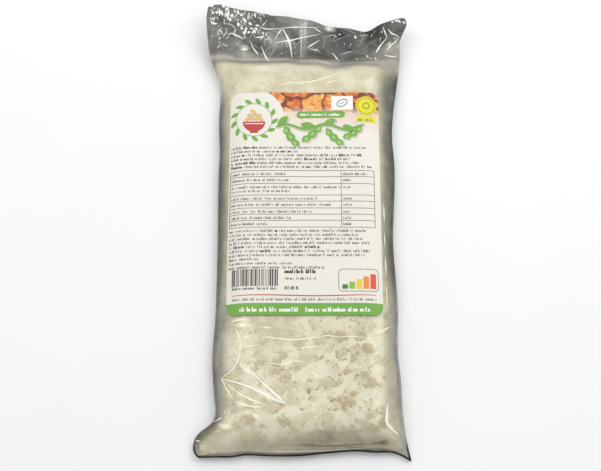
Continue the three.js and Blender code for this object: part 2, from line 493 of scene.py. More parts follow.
class TEMPEH_OT_cake(bpy.types.Operator):
    """Adds the cake of felted beans inside the bag"""

    bl_idname = "tempeh.cake"
    bl_label = "Cake"

    def execute(self, context):
        cake = context.scene.tempeh_cake
        piece = merged_copy("bagged_cake", "tempeh_cake")
        gaps = (cake.side_gap, cake.side_gap, cake.top_gap)
        halves = (FILLED_HALF * MM, (BAG_HIGH - BAG_LOW).y / 2, HALF_HEIGHT * MM)
        shares = [1 - gap / half for gap, half in zip(gaps, halves)]
        edit(piece)
        bpy.ops.transform.resize(value=shares, center_override=(0, 0, halves[2]))
        leave_edit()
        cut(piece, on_pack(0, cake.loose_end / MM), (0, 1, 0))
        cut(piece, on_pack(*TIP_CUT["at"]), (*TIP_CUT["facing"], 0))
        apply(piece, "REMESH", mode="VOXEL", voxel_size=VOXEL * MM, adaptivity=0)
        apply(piece, "SMOOTH", factor=0.5, iterations=CAKE_SMOOTHING)
        shape_by(piece, "Bean relief", cake_relief(cake))
        bag = merged_copy("bagged_cake", "bag_limit")
        subdivide(bag)
        apply(piece, "SHRINKWRAP", target=bag, wrap_mode="INSIDE", offset=FILM_GAP * MM)
        bpy.data.objects.remove(bag)
        smooth(piece)
        finish_piece(piece, cake_material(cake), "film_over_cake")
        return {"FINISHED"}


# ---- The film ----

SLACK = (1.2, 3.5)  # distances from the cake between which the film starts to look smoky
SIDE_RIM = (-3, 5)  # distances from the rim between which the film turns from dark to pale
FRONT_RIM = (0.6, 2.2)  # and heights between which it does so at the front, the dark below being painted shade under the front edge
FRONT = (-112, -126)  # places along the pack between which the front begins
# A painted shadow line at the foot of the front, under the pack's edge: limits along, across and inwards, and
# its smoke.
FOOT_SHADOW = {"along": (-122, -130), "left": (-73, -64), "right": (70, 62), "inward": (1.5, 0.9), "smoke_and_shade": 1.55}
RIM_SLOPE = 0.25  # the points of the rim face up or down by less than this
HAZE_SWAY = {"size": 16, "depth": 4}
NEARNESS = 30  # in square mm, how softly the looks of places run into each other
# Places along the rim, how smoky the film is there, how far in that reaches, and how pale it looks. The smoke
# that reaches in over the cake's shoulders is painted shade.
RIM_LOOKS = (
    (-60, 120, 0.15, 6, 0.8),
    (-58, 80, 0.95, 8, 0.38),
    (-59, 20, 1.25, 8, 0.37),
    (-60, -30, 1.1, 7.6, 0.52),
    (-60, -58, 1, 13, 0.66),
    (-60, -80, 1, 12.5, 0.66),
    (-57, -105, 0.9, 9, 0.68),
    (-62, -118, 1.5, 9, 0.3),
    (-72, -130, 1.1, 5, 0.55),
    (-56, -134, 0.3, 6, 0.8),
    (-30, -133, 0.55, 14, 0.75),
    (2, -133, 0.8, 15, 0.7),
    (38, -131, 0.75, 15, 0.7),
    (58, -134, 0.8, 8, 0.95),
    (68, -140, 1.6, 12, 0),
    (60, -100, 0.74, 17, 0.78),
    (58, -65, 0.82, 12, 0.7),
    (57, 0, 1.45, 9.6, 0.35),
    (56, 50, 1.5, 12, 0.34),
    (57, 78, 1.45, 10.5, 0.4),
    (58, 97, 1.45, 16, 0.4),
    (60, 109, 1.35, 20, 0.28),
    (60, 119, 0.9, 12, 0.9),
)
LEAVING = (-5, 3)  # distances from the cake's end between which the film turns smoky
END_HAZE = (8.5, 1.5)  # and between which the haze over it comes out
DULL_END = {"past": 7, "reach": (6, 3)}  # where the film that leaves the cake doesn't shine
# Places across the pack and 0, where along it the cake ends and how pale the film looks there.
CAKE_ENDS = (
    (-59, 0, 126, 1),
    (-37, 0, 122.5, 1.1),
    (-17, 0, 124, 1.25),
    (3, 0, 121.5, 1.2),
    (21, 0, 118, 0.65),
    (38, 0, 120.5, 1),
    (56, 0, 119.5, 1.1),
)
# Places of the empty end, how smoky the film is there and how pale it looks.
EMPTY_LOOKS = (
    (-56, 158, 1.45, 0.15),
    (-61, 141, 1.4, 0.5),
    (-40, 153, 1.5, 0.22),
    (-38, 144, 1.5, 0.13),
    (-47, 132, 1.4, 0.55),
    (-20, 143, 1.5, 0.42),
    (-15, 134, 1.5, 0.32),
    (2, 154, 1.5, 0.36),
    (3, 141, 1.5, 0.07),
    (6, 131, 1.5, 0.24),
    (-4, 129, 1.45, 0.55),
    (28, 139, 1.7, 0),
    (20, 123, 1.5, 0.5),
    (22, 131, 1.6, 0.05),
    (46, 146, 1.7, 0.03),
    (60, 148, 1.5, 0.2),
    (55, 130, 1.25, 1),
    (51, 124, 1.1, 1),
    (41, 125.5, 1.4, 0.6),
    (47, 138, 1.6, 0.12),
    (38, 133, 1.5, 0.1),
)
CRUMPLE = (124, 135)  # places along the pack between which the film gets crumpled
CREASES = ((0.5, 21, 1), (1.75, 14, 0.8))  # angle, spacing and share of the whole depth
FINE_CREASES = ((2.6, 8.5, 0.8), (0.05, 6, 0.6))
FINE_CORNER = {"slant": -0.8, "limits": (-110, -160)}
CREASE_SWAY = (30, 26)
CREASE_CLOUDS = (20, 1, 0.4, 0.62, 0.1, 1)
SMOKE_CLOUDS = (14, 4, 0.3, 0.7, 0.85, 1.15)
STREAKS = (9, 5, 0.4, 0.75, 0.85, 1.7)
STREAK_STRETCH = (0.6, 1, 1)
DUST = (0.8, 3, 0.2, 0.8, 0.15, 0.2)  # clouds whose limits give the mirror's roughness
FRONT_HAZE = {"along": (-108, -122), "across": (58, 45)}


def zigzags(wiring, x, y, creases):
    """The height of creases in straight rows, each row rising and falling by its share."""
    height = 0
    for angle, spacing, share in creases:
        across = wiring.times(x, math.cos(angle) / spacing)
        across = wiring.math("MULTIPLY_ADD", y, math.sin(angle) / spacing, across)
        zigzag = wiring.minus(wiring.math("PINGPONG", across, 0.5), 0.25)
        height = wiring.math("MULTIPLY_ADD", zigzag, 4 * share, height)
    return height


def film_crumple(film):
    """Straight creases in several directions where the bag is empty, finest in its left corner."""

    def moves(wiring, place, _normal):
        x, y, _z = wiring.split(wiring.swayed(place, *CREASE_SWAY))
        slanted = wiring.math("MULTIPLY_ADD", y, FINE_CORNER["slant"], x)
        corner = wiring.step(slanted, *FINE_CORNER["limits"])
        fine = zigzags(wiring, x, y, FINE_CREASES)
        height = wiring.math("MULTIPLY_ADD", fine, corner, zigzags(wiring, x, y, CREASES))
        depth = wiring.times(named(wiring, "crumple"), film.crumple, wiring.clouds(place, *CREASE_CLOUDS))
        return wiring.joined(0, 0, wiring.times(height, depth))

    return moves


def rim_of(piece):
    """The points of the piece's rim as seen from above, to measure distances from."""
    points = [vertex.co.xy.to_3d() for vertex in piece.data.vertices if abs(vertex.normal.z) < RIM_SLOPE]
    tree = KDTree(len(points))
    for k, point in enumerate(points):
        tree.insert(point, k)
    tree.balance()
    return tree


def blended(low, high, share):
    return low + (high - low) * share


def looks_near(x, y, looks):
    """Blends the values that the looks give for their places, most from the nearest one."""
    weights = [1 / ((x - look[0]) ** 2 + (y - look[1]) ** 2 + NEARNESS) ** 2 for look in looks]
    total = sum(weights)
    return [sum(w * look[k] for w, look in zip(weights, looks)) / total for k in range(2, len(looks[0]))]


def film_masks(piece, cake):
    """Stores how smoky, pale, dull and crumpled the film is at each of its points."""
    tree = BVHTree.FromObject(cake, bpy.context.evaluated_depsgraph_get())
    rim = rim_of(piece)
    masks = {"smoke_and_shade": [], "pale": [], "dull": [], "crumple": []}
    for vertex in piece.data.vertices:
        x, y, z = (vertex.co - ZERO) / MM
        inward = rim.find(vertex.co.xy.to_3d())[2] / MM
        end, end_pale = looks_near(x, 0, CAKE_ENDS)
        empty = smoothstep(y - end, *LEAVING)
        front = smoothstep(y, *FRONT)
        slack = smoothstep(tree.find_nearest(vertex.co)[3] / MM, *SLACK)
        side_smoke_and_shade, width, side_pale = looks_near(x, y, RIM_LOOKS)
        # Over the cake's shoulders this smoke is painted shade.
        side_smoke_and_shade *= max(slack, smoothstep(inward, width, 0))
        side_pale *= blended(smoothstep(inward, *SIDE_RIM), smoothstep(z, *FRONT_RIM), front)
        sway = noise_vector(Vector((x, y, 0)) / HAZE_SWAY["size"]) * HAZE_SWAY["depth"]
        empty_smoke, empty_pale = looks_near(x + sway.x, y + sway.y, EMPTY_LOOKS)
        empty_pale = max(empty_pale, end_pale * smoothstep(y - end, *END_HAZE))
        # The foot gets a painted shadow line: dark smoke, no pale haze and no shine.
        foot = smoothstep(y, *FOOT_SHADOW["along"]) * smoothstep(inward, *FOOT_SHADOW["inward"])
        foot *= smoothstep(x, *FOOT_SHADOW["left"]) * smoothstep(x, *FOOT_SHADOW["right"])
        side_smoke_and_shade = max(side_smoke_and_shade, FOOT_SHADOW["smoke_and_shade"] * foot)
        side_pale *= 1 - foot
        masks["smoke_and_shade"].append(blended(side_smoke_and_shade, empty_smoke, empty))
        masks["pale"].append(blended(side_pale, empty_pale, empty))
        masks["dull"].append(max(foot, smoothstep(abs(y - end - DULL_END["past"]), *DULL_END["reach"])))
        masks["crumple"].append(smoothstep(y, *CRUMPLE))
    for name, values in masks.items():
        store(piece, name, values)


def film_material(film):
    material, wiring = new_material("Clear film")
    place = object_place(wiring)
    across, along, _up = wiring.split(place)
    clouds = wiring.clouds(place, *SMOKE_CLOUDS)
    streaks = wiring.clouds(wiring.vector("MULTIPLY", place, STREAK_STRETCH), *STREAKS)
    # Smoke hides what lies behind the film. Over the cake's shoulders and at the front's foot it is painted
    # shade.
    hidden = wiring.math("ADD", wiring.times(wiring.attribute("smoke_and_shade"), film.smoke_and_shade, clouds), film.veil)
    paleness = wiring.times(clouds, streaks, wiring.attribute("pale"))
    at_front = wiring.step(along, *FRONT_HAZE["along"])
    at_front = wiring.times(at_front, wiring.step(across, *FRONT_HAZE["across"]))
    haze = wiring.mix(at_front, film.haze_color, film.front_haze_color)
    body = wiring.surface(wiring.mix(paleness, film.smoke_color, haze), 0.5, {"Specular IOR Level": 0})
    clear = wiring.add("ShaderNodeBsdfTransparent")
    seen_through = wiring.add("ShaderNodeMixShader", {0: hidden, 1: clear, 2: body})
    mirror = wiring.add("ShaderNodeBsdfAnisotropic", {"Roughness": wiring.clouds(place, *DUST)})
    edge_on = wiring.math("POWER", wiring.add("ShaderNodeLayerWeight", {"Blend": 0.5}, output=1), 5)
    mirrored = wiring.math("MULTIPLY_ADD", edge_on, film.rim_gloss, film.gloss)
    mirrored = wiring.times(mirrored, wiring.minus(1, wiring.attribute("dull")))
    show(wiring, wiring.add("ShaderNodeMixShader", {0: mirrored, 1: seen_through, 2: mirror}))
    return material


class TEMPEH_OT_film(bpy.types.Operator):
    """Adds the clear film bag round the cake"""

    bl_idname = "tempeh.film"
    bl_label = "Film bag"

    def execute(self, context):
        film = context.scene.tempeh_film
        piece = merged_copy("bagged_cake", "film_bag")
        subdivide(piece)
        film_masks(piece, bpy.data.objects["tempeh_cake"])
        shape_by(piece, "Crumple", film_crumple(film))
        smooth(piece)
        finish_piece(piece, film_material(film), "film_over_cake", "bagged_cake")
        return {"FINISHED"}


# ---- Painted highlights and shades along the film's folds ----

# Each fold is a painted highlight along a crease of the film. It has its greatest width, the share of its
# length at which it is widest, and its corners. Its strength, from 0 to 1, is that of its group.
STAR_FOLD_HIGHLIGHTS = (
    (2.3, 0.8, (-51, -89), (-42.5, -92), (-31.5, -96), (-25.5, -99), (-18.5, -103), (-11.5, -105.5)),
    (2.1, 0.85, (-39.5, -81), (-36.5, -84), (-28.5, -90), (-24, -94.5), (-17.5, -100.5), (-12, -105)),
    (1.2, 0.7, (-51, -89), (-45, -94.5), (-39.5, -99), (-33.5, -102.5), (-27, -105), (-23, -106.5)),
    (1.5, 0.35, (-42.5, -103.5), (-39, -105), (-34.5, -106.5), (-28, -107.5), (-24.5, -106.5)),
    (1.2, 0.6, (-50.5, -89.5), (-47, -96), (-43, -102.5)),
    (1.4, 0.7, (-51, -89), (-45.5, -86), (-41, -80.5), (-39.5, -75)),
    (0.8, 0.3, (-43, -59), (-41, -62.5), (-39.5, -65.5), (-39, -75)),
)
CROSS_FOLD_HIGHLIGHTS = (
    (1.1, 0.5, (-46, -55), (-42, -54), (-34.5, -53.5)),
    (0.7, 0.5, (-28, -58.5), (-20.5, -59)),
    (0.8, 0.5, (-39.5, -65), (-35, -64.5), (-31, -62.5)),
    (0.9, 0.2, (-27.5, -66), (-25, -64.5), (-18.5, -65.5), (-9.5, -66.5), (-0.5, -66), (6.5, -65),
     (13.5, -63.5), (19, -65), (26, -64), (35, -65), (39.5, -66), (44.5, -64)),
    (1.5, 0.5, (41.5, -62.5), (46, -60.5), (50.5, -57)),
    (0.8, 0.5, (-39.5, -69.5), (-34, -70.5), (-28.5, -69.5)),
    (0.9, 0.6, (-25.5, -81), (-18.5, -81), (-14, -82), (-9.5, -80), (-4.5, -79.5), (0.5, -80.5)),
    (0.9, 0.5, (1, -85), (4.5, -87), (7.5, -90)),
    (0.7, 0.5, (-9.5, -71.5), (-0.5, -71.5), (12, -69.5)),
    (0.9, 0.5, (-20, 101.5), (-16, 104), (-8.5, 105.5), (-3.5, 105), (5.5, 106.5), (13, 109), (23, 112.5)),
    (0.8, 0.5, (12, 104.5), (20, 107)),
    (0.9, 0.2, (-45.5, 104), (-42, 99.5)),
)
EDGE_FOLD_HIGHLIGHTS = (
    (2.4, 0.6, (48, -104.5), (47.5, -110.5), (47, -116), (51, -119.5), (54.5, -122)),
    (0.9, 0.8, (-55.5, -114), (-53.5, -113.5), (-49.5, -112)),
    (0.9, 0.5, (-49, -108.5), (-47.5, -110)),
    (0.8, 0.5, (-65.5, -124.5), (-62, -126)),
    (0.8, 0.5, (48.7, 22), (49, 10)),
    (0.7, 0.5, (48.8, 4), (49.1, -6)),
    (0.9, 0.5, (49, -12), (49.3, -24)),
    (0.6, 0.5, (49.2, -32), (49.5, -45)),
)
EMPTY_FOLD_HIGHLIGHTS = (
    (0.8, 0.4, (-30.5, 151.5), (-24.5, 149.5), (-16, 150)),
    (0.8, 0.4, (-16.5, 150), (-6.5, 151), (9, 151.5)),
    (1.5, 0.45, (-15.5, 150), (-11.5, 142.5), (-10, 136.5), (-9, 128.5)),
    (0.9, 0.3, (-20.5, 139), (-10.5, 141), (-1.5, 143.5), (10, 147)),
    (0.8, 0.8, (-20.5, 141.5), (-16, 149.5)),
    (0.8, 0.7, (4.5, 151.5), (10.5, 148)),
    (0.9, 0.3, (1, 135.5), (9.5, 142.5)),
    (1.1, 0.7, (-29.5, 137), (-27.5, 131.5), (-24, 123.5)),
    (1, 0.8, (-36.5, 139), (-35, 135), (-31, 130.5)),
    (1.2, 0.6, (-33.5, 143), (-31, 143.5), (-28.5, 144)),
    (1.2, 0.5, (-28.5, 148), (-28, 146)),
    (1.2, 0.5, (-26.5, 147), (-26, 144.5)),
    (0.8, 0.5, (17, 132.5), (19.5, 130.5), (22.5, 123.5)),
    (0.9, 0.5, (51.5, 150.5), (52.5, 147), (54, 142)),
    (1.3, 0.7, (54, 142), (49.5, 138), (46.5, 132.5)),
    (1, 0.5, (54.5, 148.5), (57, 144.5), (59.5, 143.5), (62, 142)),
    (1, 0.9, (62, 142), (59, 138.5), (56.5, 136.5), (54, 134)),
    (0.9, 0.5, (52, 130.5), (56, 129), (60, 128.5)),
    (1.3, 0.5, (57, 153.5), (58.5, 152)),
    (1.7, 0.5, (59, 153.5), (61.5, 152)),
    (1.3, 0.5, (61, 153.5), (63, 150.5)),
    (1.3, 0.5, (64, 151.5), (66, 149.5)),
    (1.5, 0.8, (33, 147), (33.5, 144.5)),
    (1, 0.5, (22, 147.5), (23.5, 147)),
    (0.9, 0.5, (40.5, 131.5), (41.5, 129.5)),
)
CORNER_FOLD_HIGHLIGHTS = (
    (1.2, 0.5, (-62, 158.5), (-61, 156.5)),
    (1.2, 0.5, (-58.5, 159), (-59.5, 157)),
    (1, 0.5, (-57.5, 161.5), (-57, 156)),
    (0.9, 0.5, (-56, 160), (-55, 156)),
    (0.8, 0.5, (-51, 162), (-52, 154)),
    (1.3, 0.5, (-52.5, 163.5), (-52, 161.5)),
    (1.3, 0.5, (-55.5, 164.5), (-54, 162.5)),
    (1.2, 0.5, (-49, 159), (-49, 156)),
    (1.3, 0.5, (-50, 155.5), (-50.5, 153)),
    (1, 0.5, (-45.5, 162.5), (-44.5, 159)),
    (1, 0.5, (-42.5, 160.5), (-43.5, 158)),
    (1.2, 0.5, (-42, 157), (-39.5, 154)),
    (1.2, 0.5, (-45, 152.5), (-44.5, 149.5)),
    (1.2, 0.5, (-38, 154), (-36, 152.5)),
    (0.9, 0.5, (-33.5, 153), (-31, 152.5)),
    (0.9, 0.5, (-34, 161), (-33.5, 158)),
    (1, 0.5, (-42.5, 149.5), (-42, 147.5)),
    (0.9, 0.5, (-39.5, 150.5), (-40.5, 144)),
    (0.9, 0.5, (-41.5, 146.5), (-40.5, 144)),
    (0.9, 0.5, (-37, 149), (-35.5, 150.5)),
    (0.9, 0.5, (-35, 150), (-33, 146.5)),
    (1, 0.5, (-33.5, 151), (-32.5, 149)),
    (0.9, 0.5, (-38.5, 145.5), (-37, 147.5)),
    (1.2, 0.4, (-63, 150.5), (-61, 149.5), (-58.5, 150)),
    (1.3, 0.5, (-57.5, 141.5), (-56.5, 141)),
    (0.9, 0.5, (-51.5, 144), (-49, 145), (-46, 143), (-43.5, 142), (-41, 140.5)),
    (1.3, 0.5, (-43, 133.5), (-38, 134)),
    (1.3, 0.5, (-63, 162), (-61.5, 163.5)),
)
FAINT_FOLD_HIGHLIGHTS = (
    (1.5, 0.5, (-52.5, 160), (-53.5, 155)),
    (0.8, 0.5, (-50.5, 157), (-48.5, 156.5)),
    (1, 0.5, (-48, 162), (-46.5, 159.5)),
    (1, 0.5, (-46.5, 154.5), (-44, 154.5)),
    (0.8, 0.5, (-38, 161.5), (-38, 156.5)),
    (1.3, 0.5, (-36, 161), (-35, 158.5)),
    (0.8, 0.5, (-32.5, 158.5), (-29.5, 157.5)),
    (0.7, 0.5, (-36.5, 147), (-34, 146.5)),
    (0.8, 0.5, (-58.5, 148.5), (-57, 148.5)),
    (1, 0.5, (-58, 146), (-55, 145.5)),
    (1.4, 0.5, (-53.5, 147.5), (-52, 146.5), (-53.5, 143.5), (-55.5, 141.5)),
    (0.8, 0.5, (-62.5, 142.5), (-61.5, 141.5)),
    (0.7, 0.5, (-53, 141), (-51.5, 142.5)),
    (0.8, 0.5, (-55.5, 138.5), (-54, 136.5), (-51.5, 136), (-52.5, 137), (-54.5, 138)),
    (1.3, 0.5, (-59, 135), (-56, 137.5)),
    (1.3, 0.5, (-57.5, 139.5), (-57, 138)),
    (1, 0.5, (-43, 135), (-38, 136)),
    (0.8, 0.5, (-29.5, 151.5), (-25, 149)),
    (0.7, 0.5, (-27.5, 143), (-26, 141), (-24, 143)),
    (0.7, 0.5, (-54, 151), (-49.5, 150.5), (-45.5, 149)),
    (0.6, 0.5, (-30.5, 141.5), (-26.5, 146), (-24.5, 142.5), (-21.5, 137)),
    (0.6, 0.5, (12.5, 145), (19.5, 147.5), (21.5, 144.5)),
    (0.6, 0.5, (1.5, 136), (4.5, 134), (7.5, 135), (10, 132)),
    (0.9, 0.5, (36, 146.5), (39.5, 147), (42, 147.5)),
    (0.7, 0.5, (18.5, 144), (20.5, 147)),
    (1.2, 0.5, (54, 136.5), (56.5, 139.5)),
    (0.7, 0.5, (57.5, 141.5), (61.5, 142)),
    (1, 0.5, (41.5, 128.5), (44, 129), (43.5, 126.5)),
    (1.1, 0.5, (46, 129.5), (46.5, 125)),
    (0.6, 0.5, (22.5, 131), (28, 133.5), (32.5, 135)),
    (0.8, 0.5, (-3, 156.5), (-3, 141.5), (-3, 125.5)),
    (0.7, 0.5, (-50, -130.5), (-31.5, -131), (-15, -131.5), (8, -131), (30, -129.5), (43.5, -129)),
)
# Painted soft highlights and reflections on the film.
SHEENS = (
    (4.8, 0.4, (-41.5, -78.5), (-37, -83), (-31.5, -88.5), (-26, -93)),
    (3.4, 0.4, (-52.5, -116.5), (-47, -118.5), (-39.5, -119)),
    (2.4, 0.5, (-33.5, -109.5), (-29, -113), (-25, -116)),
    (3.6, 0.3, (-42, -103.6), (-37.5, -105.6), (-31.5, -106.6)),
    (4.8, 0.7, (-44, -91.5), (-31, -96), (-20, -102), (-12.5, -105.5)),
    (3, 0.5, (-45, -56.5), (-39.5, -57.5), (-32, -57)),
    (3.4, 0.4, (11.5, 151.5), (16, 151), (21, 150)),
)
# Broad painted highlights. The first two rows are the paler band of the bag's seam under the empty end.
BROAD_SHEENS_AND_SEAM = (
    (5, 0.3, (-1.5, 158), (-1.5, 143), (-1.7, 126)),
    (2.4, 0.2, (0.2, 158), (-0.3, 150.5), (-0.5, 140.5)),
    (3, 0.5, (-44.5, 135), (-40, 135), (-35.5, 134)),
    (7, 0.5, (-47, -60), (-47, -72), (-47.5, -86)),
    (5, 0.5, (-40, 113.5), (-28, 116), (-15, 114.5)),
)
SHADES = (
    (1.1, 0.7, (-30, -128.5), (-8, -128), (12, -128.5), (30, -127.5), (46, -126.5)),
    (2.6, 0.7, (38, -127.5), (45, -126.5), (50, -126)),
)
BROAD_SHADES = (
    (7, 0.5, (-20, -122.5), (0, -124), (18, -122), (36, -123), (47, -120.5)),
)
FOLD_STEP = 1.2
FOLD_ACROSS = (-1, -0.5, 0, 0.5, 1)  # points across a fold, as shares of half its width
FOLD_THICKNESS = 0.03
FOLD_SPREAD = 1.5  # how much wider a fold is than its bright middle
FOLD_TAPER = 0.8  # below 1, a fold stays wide for longer before it narrows
SHARP = {"blunt": 0.15, "fading": 0, "ridge": 0.06}  # width at its ends, fading towards them, and height
SOFT = {"blunt": 0.55, "fading": 1.1, "ridge": 0.02}
FOLD_STREAKS = (2.2, 3, 0.3, 0.55, 0.8, 1)  # size, detail and limits
FOLD_ROUGHNESS = (0.8, 1, 0.4, 0.25)
FOLD_MIDDLE = (1, 0.25)  # shares of half the width between which a fold comes out
FOLD_TURN = (114, 124)  # places along the pack between which the folds' colour changes
FOLD_SEED = 11
# Stray painted highlights on small folds. Most glints lie by a corner, and every fifth one anywhere in the
# empty end.
KINK = (-0.5, 0.5)
WIDEST = (0.2, 0.8)
GLINTS = {
    "count": 100,
    "corner": (-64, 161),
    "reach": (38, -20),
    "crowding": 1.3,
    "x": (-25, 62),
    "y": (126, 148),
    "angles": (1.2, 2),
    "turn": (-0.25, 0.25),
    "length": (1.5, 4.5),
    "width": (0.35, 0.85),
}
WRINKLE_HIGHLIGHTS = {
    "count": 60,
    "left": (-62, 14),
    "right": (14, 62),
    "y": (127, 156),
    "length": (4, 15),
    "width": (0.5, 1),
}


def surface_height(tree, place):
    """The height in metres of the film's upper side at a place in metres, below zero outside the bag."""
    above = Vector((place.x, place.y, 1))
    return (tree.ray_cast(above, Vector((0, 0, -1)))[0] or Vector((0, 0, -1))).z


def points_along(corners, step):
    """Places along straight runs between the corners, with their share of the whole length."""
    lengths = [math.dist(a, b) for a, b in zip(corners, corners[1:])]
    count = max(int(sum(lengths) / step), 4)
    for k in range(count + 1):
        left = sum(lengths) * k / count
        run = 0
        while run < len(lengths) - 1 and left > lengths[run]:
            left -= lengths[run]
            run += 1
        start, stop = Vector(corners[run]), Vector(corners[run + 1])
        yield start.lerp(stop, min(left / lengths[run], 1)), k / count


def rounded(corners):
    """The same way with each corner between its ends cut off."""
    points = [Vector(corner) for corner in corners]
    middle = []
    for start, stop in zip(points, points[1:]):
        middle += [start.lerp(stop, 0.25), start.lerp(stop, 0.75)]
    return [points[0], *middle[1:-1], points[-1]] if len(points) > 2 else points


def stray_fold(rng, x, y, angle, length, width):
    """One short fold that kinks once on its way."""
    kink = angle + rng.uniform(*KINK)
    middle = (x + length / 2 * math.cos(angle), y + length / 2 * math.sin(angle))
    stop = (middle[0] + length / 2 * math.cos(kink), middle[1] + length / 2 * math.sin(kink))
    return width, rng.uniform(*WIDEST), (x, y), middle, stop


def glints(rng):
    """Short painted highlights on small folds, thickest in the empty end's left corner."""
    for k in range(GLINTS["count"]):
        x = GLINTS["corner"][0] + GLINTS["reach"][0] * rng.random()
        y = GLINTS["corner"][1] + GLINTS["reach"][1] * rng.random() ** GLINTS["crowding"]
        if k % 5 == 0:
            x = rng.uniform(*GLINTS["x"])
            y = rng.uniform(*GLINTS["y"])
        angle = rng.choice(GLINTS["angles"]) + rng.uniform(*GLINTS["turn"])
        yield stray_fold(rng, x, y, angle, rng.uniform(*GLINTS["length"]), rng.uniform(*GLINTS["width"]))


def wrinkles(rng):
    """Long faint painted highlights along creases all over the empty end, most on its left."""
    for k in range(WRINKLE_HIGHLIGHTS["count"]):
        x = rng.uniform(*WRINKLE_HIGHLIGHTS["left" if k % 4 else "right"])
        y = rng.uniform(*WRINKLE_HIGHLIGHTS["y"])
        angle = rng.uniform(0, math.pi)
        yield stray_fold(rng, x, y, angle, rng.uniform(*WRINKLE_HIGHLIGHTS["length"]), rng.uniform(*WRINKLE_HIGHLIGHTS["width"]))


def add_fold(curve, tree, width, widest, corners, edge):
    """Adds one tapered stroke along a fold to the curve, for painted highlights and shades alike. Gives how
    strong it is at each of its places.
    """
    places = []
    for point, share in points_along(rounded(corners), FOLD_STEP):
        place = on_pack(*point)
        place.z = surface_height(tree, place)
        if place.z > 0:
            nearness = share / widest if share < widest else (1 - share) / (1 - widest)
            radius = FOLD_SPREAD * width * (edge["blunt"] + (1 - edge["blunt"]) * nearness**FOLD_TAPER)
            places.append((place, radius, nearness ** edge["fading"]))
    if len(places) < 3:
        return []
    spline = curve.splines.new("POLY")
    spline.points.add(len(places) - 1)
    for spline_point, (place, radius, _strength) in zip(spline.points, places):
        spline_point.co = (*place, 1)
        spline_point.radius = radius
    return [strength for _place, _radius, strength in places]


def fold_profile():
    """A straight line one millimetre long, with a point for each of those across a fold."""
    bpy.ops.curve.primitive_bezier_curve_add()
    profile = bpy.context.object
    profile.data.splines.clear()
    line = profile.data.splines.new("POLY")
    line.points.add(len(FOLD_ACROSS) - 1)
    for point, share in zip(line.points, FOLD_ACROSS):
        point.co = (share / 2 * MM, 0, 0, 1)
    return profile


def drape(piece, tree, ridge):
    """Lays the flat painted strokes on the film, each with a low ridge along its middle."""
    for k, vertex in enumerate(piece.data.vertices):
        height = surface_height(tree, vertex.co)
        if height > 0:
            vertex.co.z = height
        vertex.co.z += ridge * MM * (1 - abs(FOLD_ACROSS[k % len(FOLD_ACROSS)]))


def fold_material(name, over_cake, over_empty):
    """Painted highlight and shade strokes along folds: strongest along the middle, fading to nothing at the
    sides, casting no shadow.
    """
    material, wiring = new_material(name)
    place = object_place(wiring)
    streaks = wiring.clouds(place, *FOLD_STREAKS)
    middle = wiring.step(wiring.attribute("sideways"), *FOLD_MIDDLE)
    strength = wiring.times(wiring.attribute("strength"), streaks)
    throws_shade = wiring.add("ShaderNodeLightPath", output="Is Shadow Ray")
    inner_side = wiring.add("ShaderNodeNewGeometry", output="Backfacing")
    seen = wiring.minus(1, wiring.math("MAXIMUM", throws_shade, inner_side))
    color = wiring.mix(wiring.step(wiring.split(place)[1], *FOLD_TURN), over_cake, over_empty)
    roughness = wiring.step(streaks, *FOLD_ROUGHNESS)
    show(wiring, wiring.surface(color, roughness, {"Alpha": wiring.times(middle, strength, seen)}))
    return material


def fold_piece(name, groups, edge, material):
    """One piece of tapered painted strokes along the film's folds. Each group has its strengths and how much
    wider it is.
    """
    tree = BVHTree.FromObject(bpy.data.objects["film_bag"], bpy.context.evaluated_depsgraph_get())
    profile = fold_profile()
    bpy.ops.curve.primitive_bezier_curve_add()
    piece = bpy.context.object
    piece.name = name
    curve = piece.data
    curve.splines.clear()
    strengths = []
    rng = random.Random(FOLD_SEED)
    for folds, weakest, strongest, wider in groups:
        for width, widest, *corners in folds:
            strength = rng.uniform(weakest, strongest)
            for share in add_fold(curve, tree, width * wider, widest, corners, edge):
                strengths += [share * strength] * len(FOLD_ACROSS)
    curve.dimensions = "3D"
    curve.twist_mode = "Z_UP"
    curve.bevel_mode = "OBJECT"
    curve.bevel_object = profile
    select_only(piece)
    bpy.ops.object.convert(target="MESH")
    bpy.data.objects.remove(profile)
    count = len(piece.data.vertices)
    store(piece, "sideways", [abs(FOLD_ACROSS[k % len(FOLD_ACROSS)]) for k in range(count)])
    store(piece, "strength", strengths)
    drape(piece, tree, edge["ridge"])
    apply(piece, "SOLIDIFY", thickness=FOLD_THICKNESS * MM, offset=1)
    edit(piece)
    bpy.ops.mesh.normals_make_consistent(inside=False)
    leave_edit()
    smooth(piece, 60)
    finish_piece(piece, material, "film_over_cake")


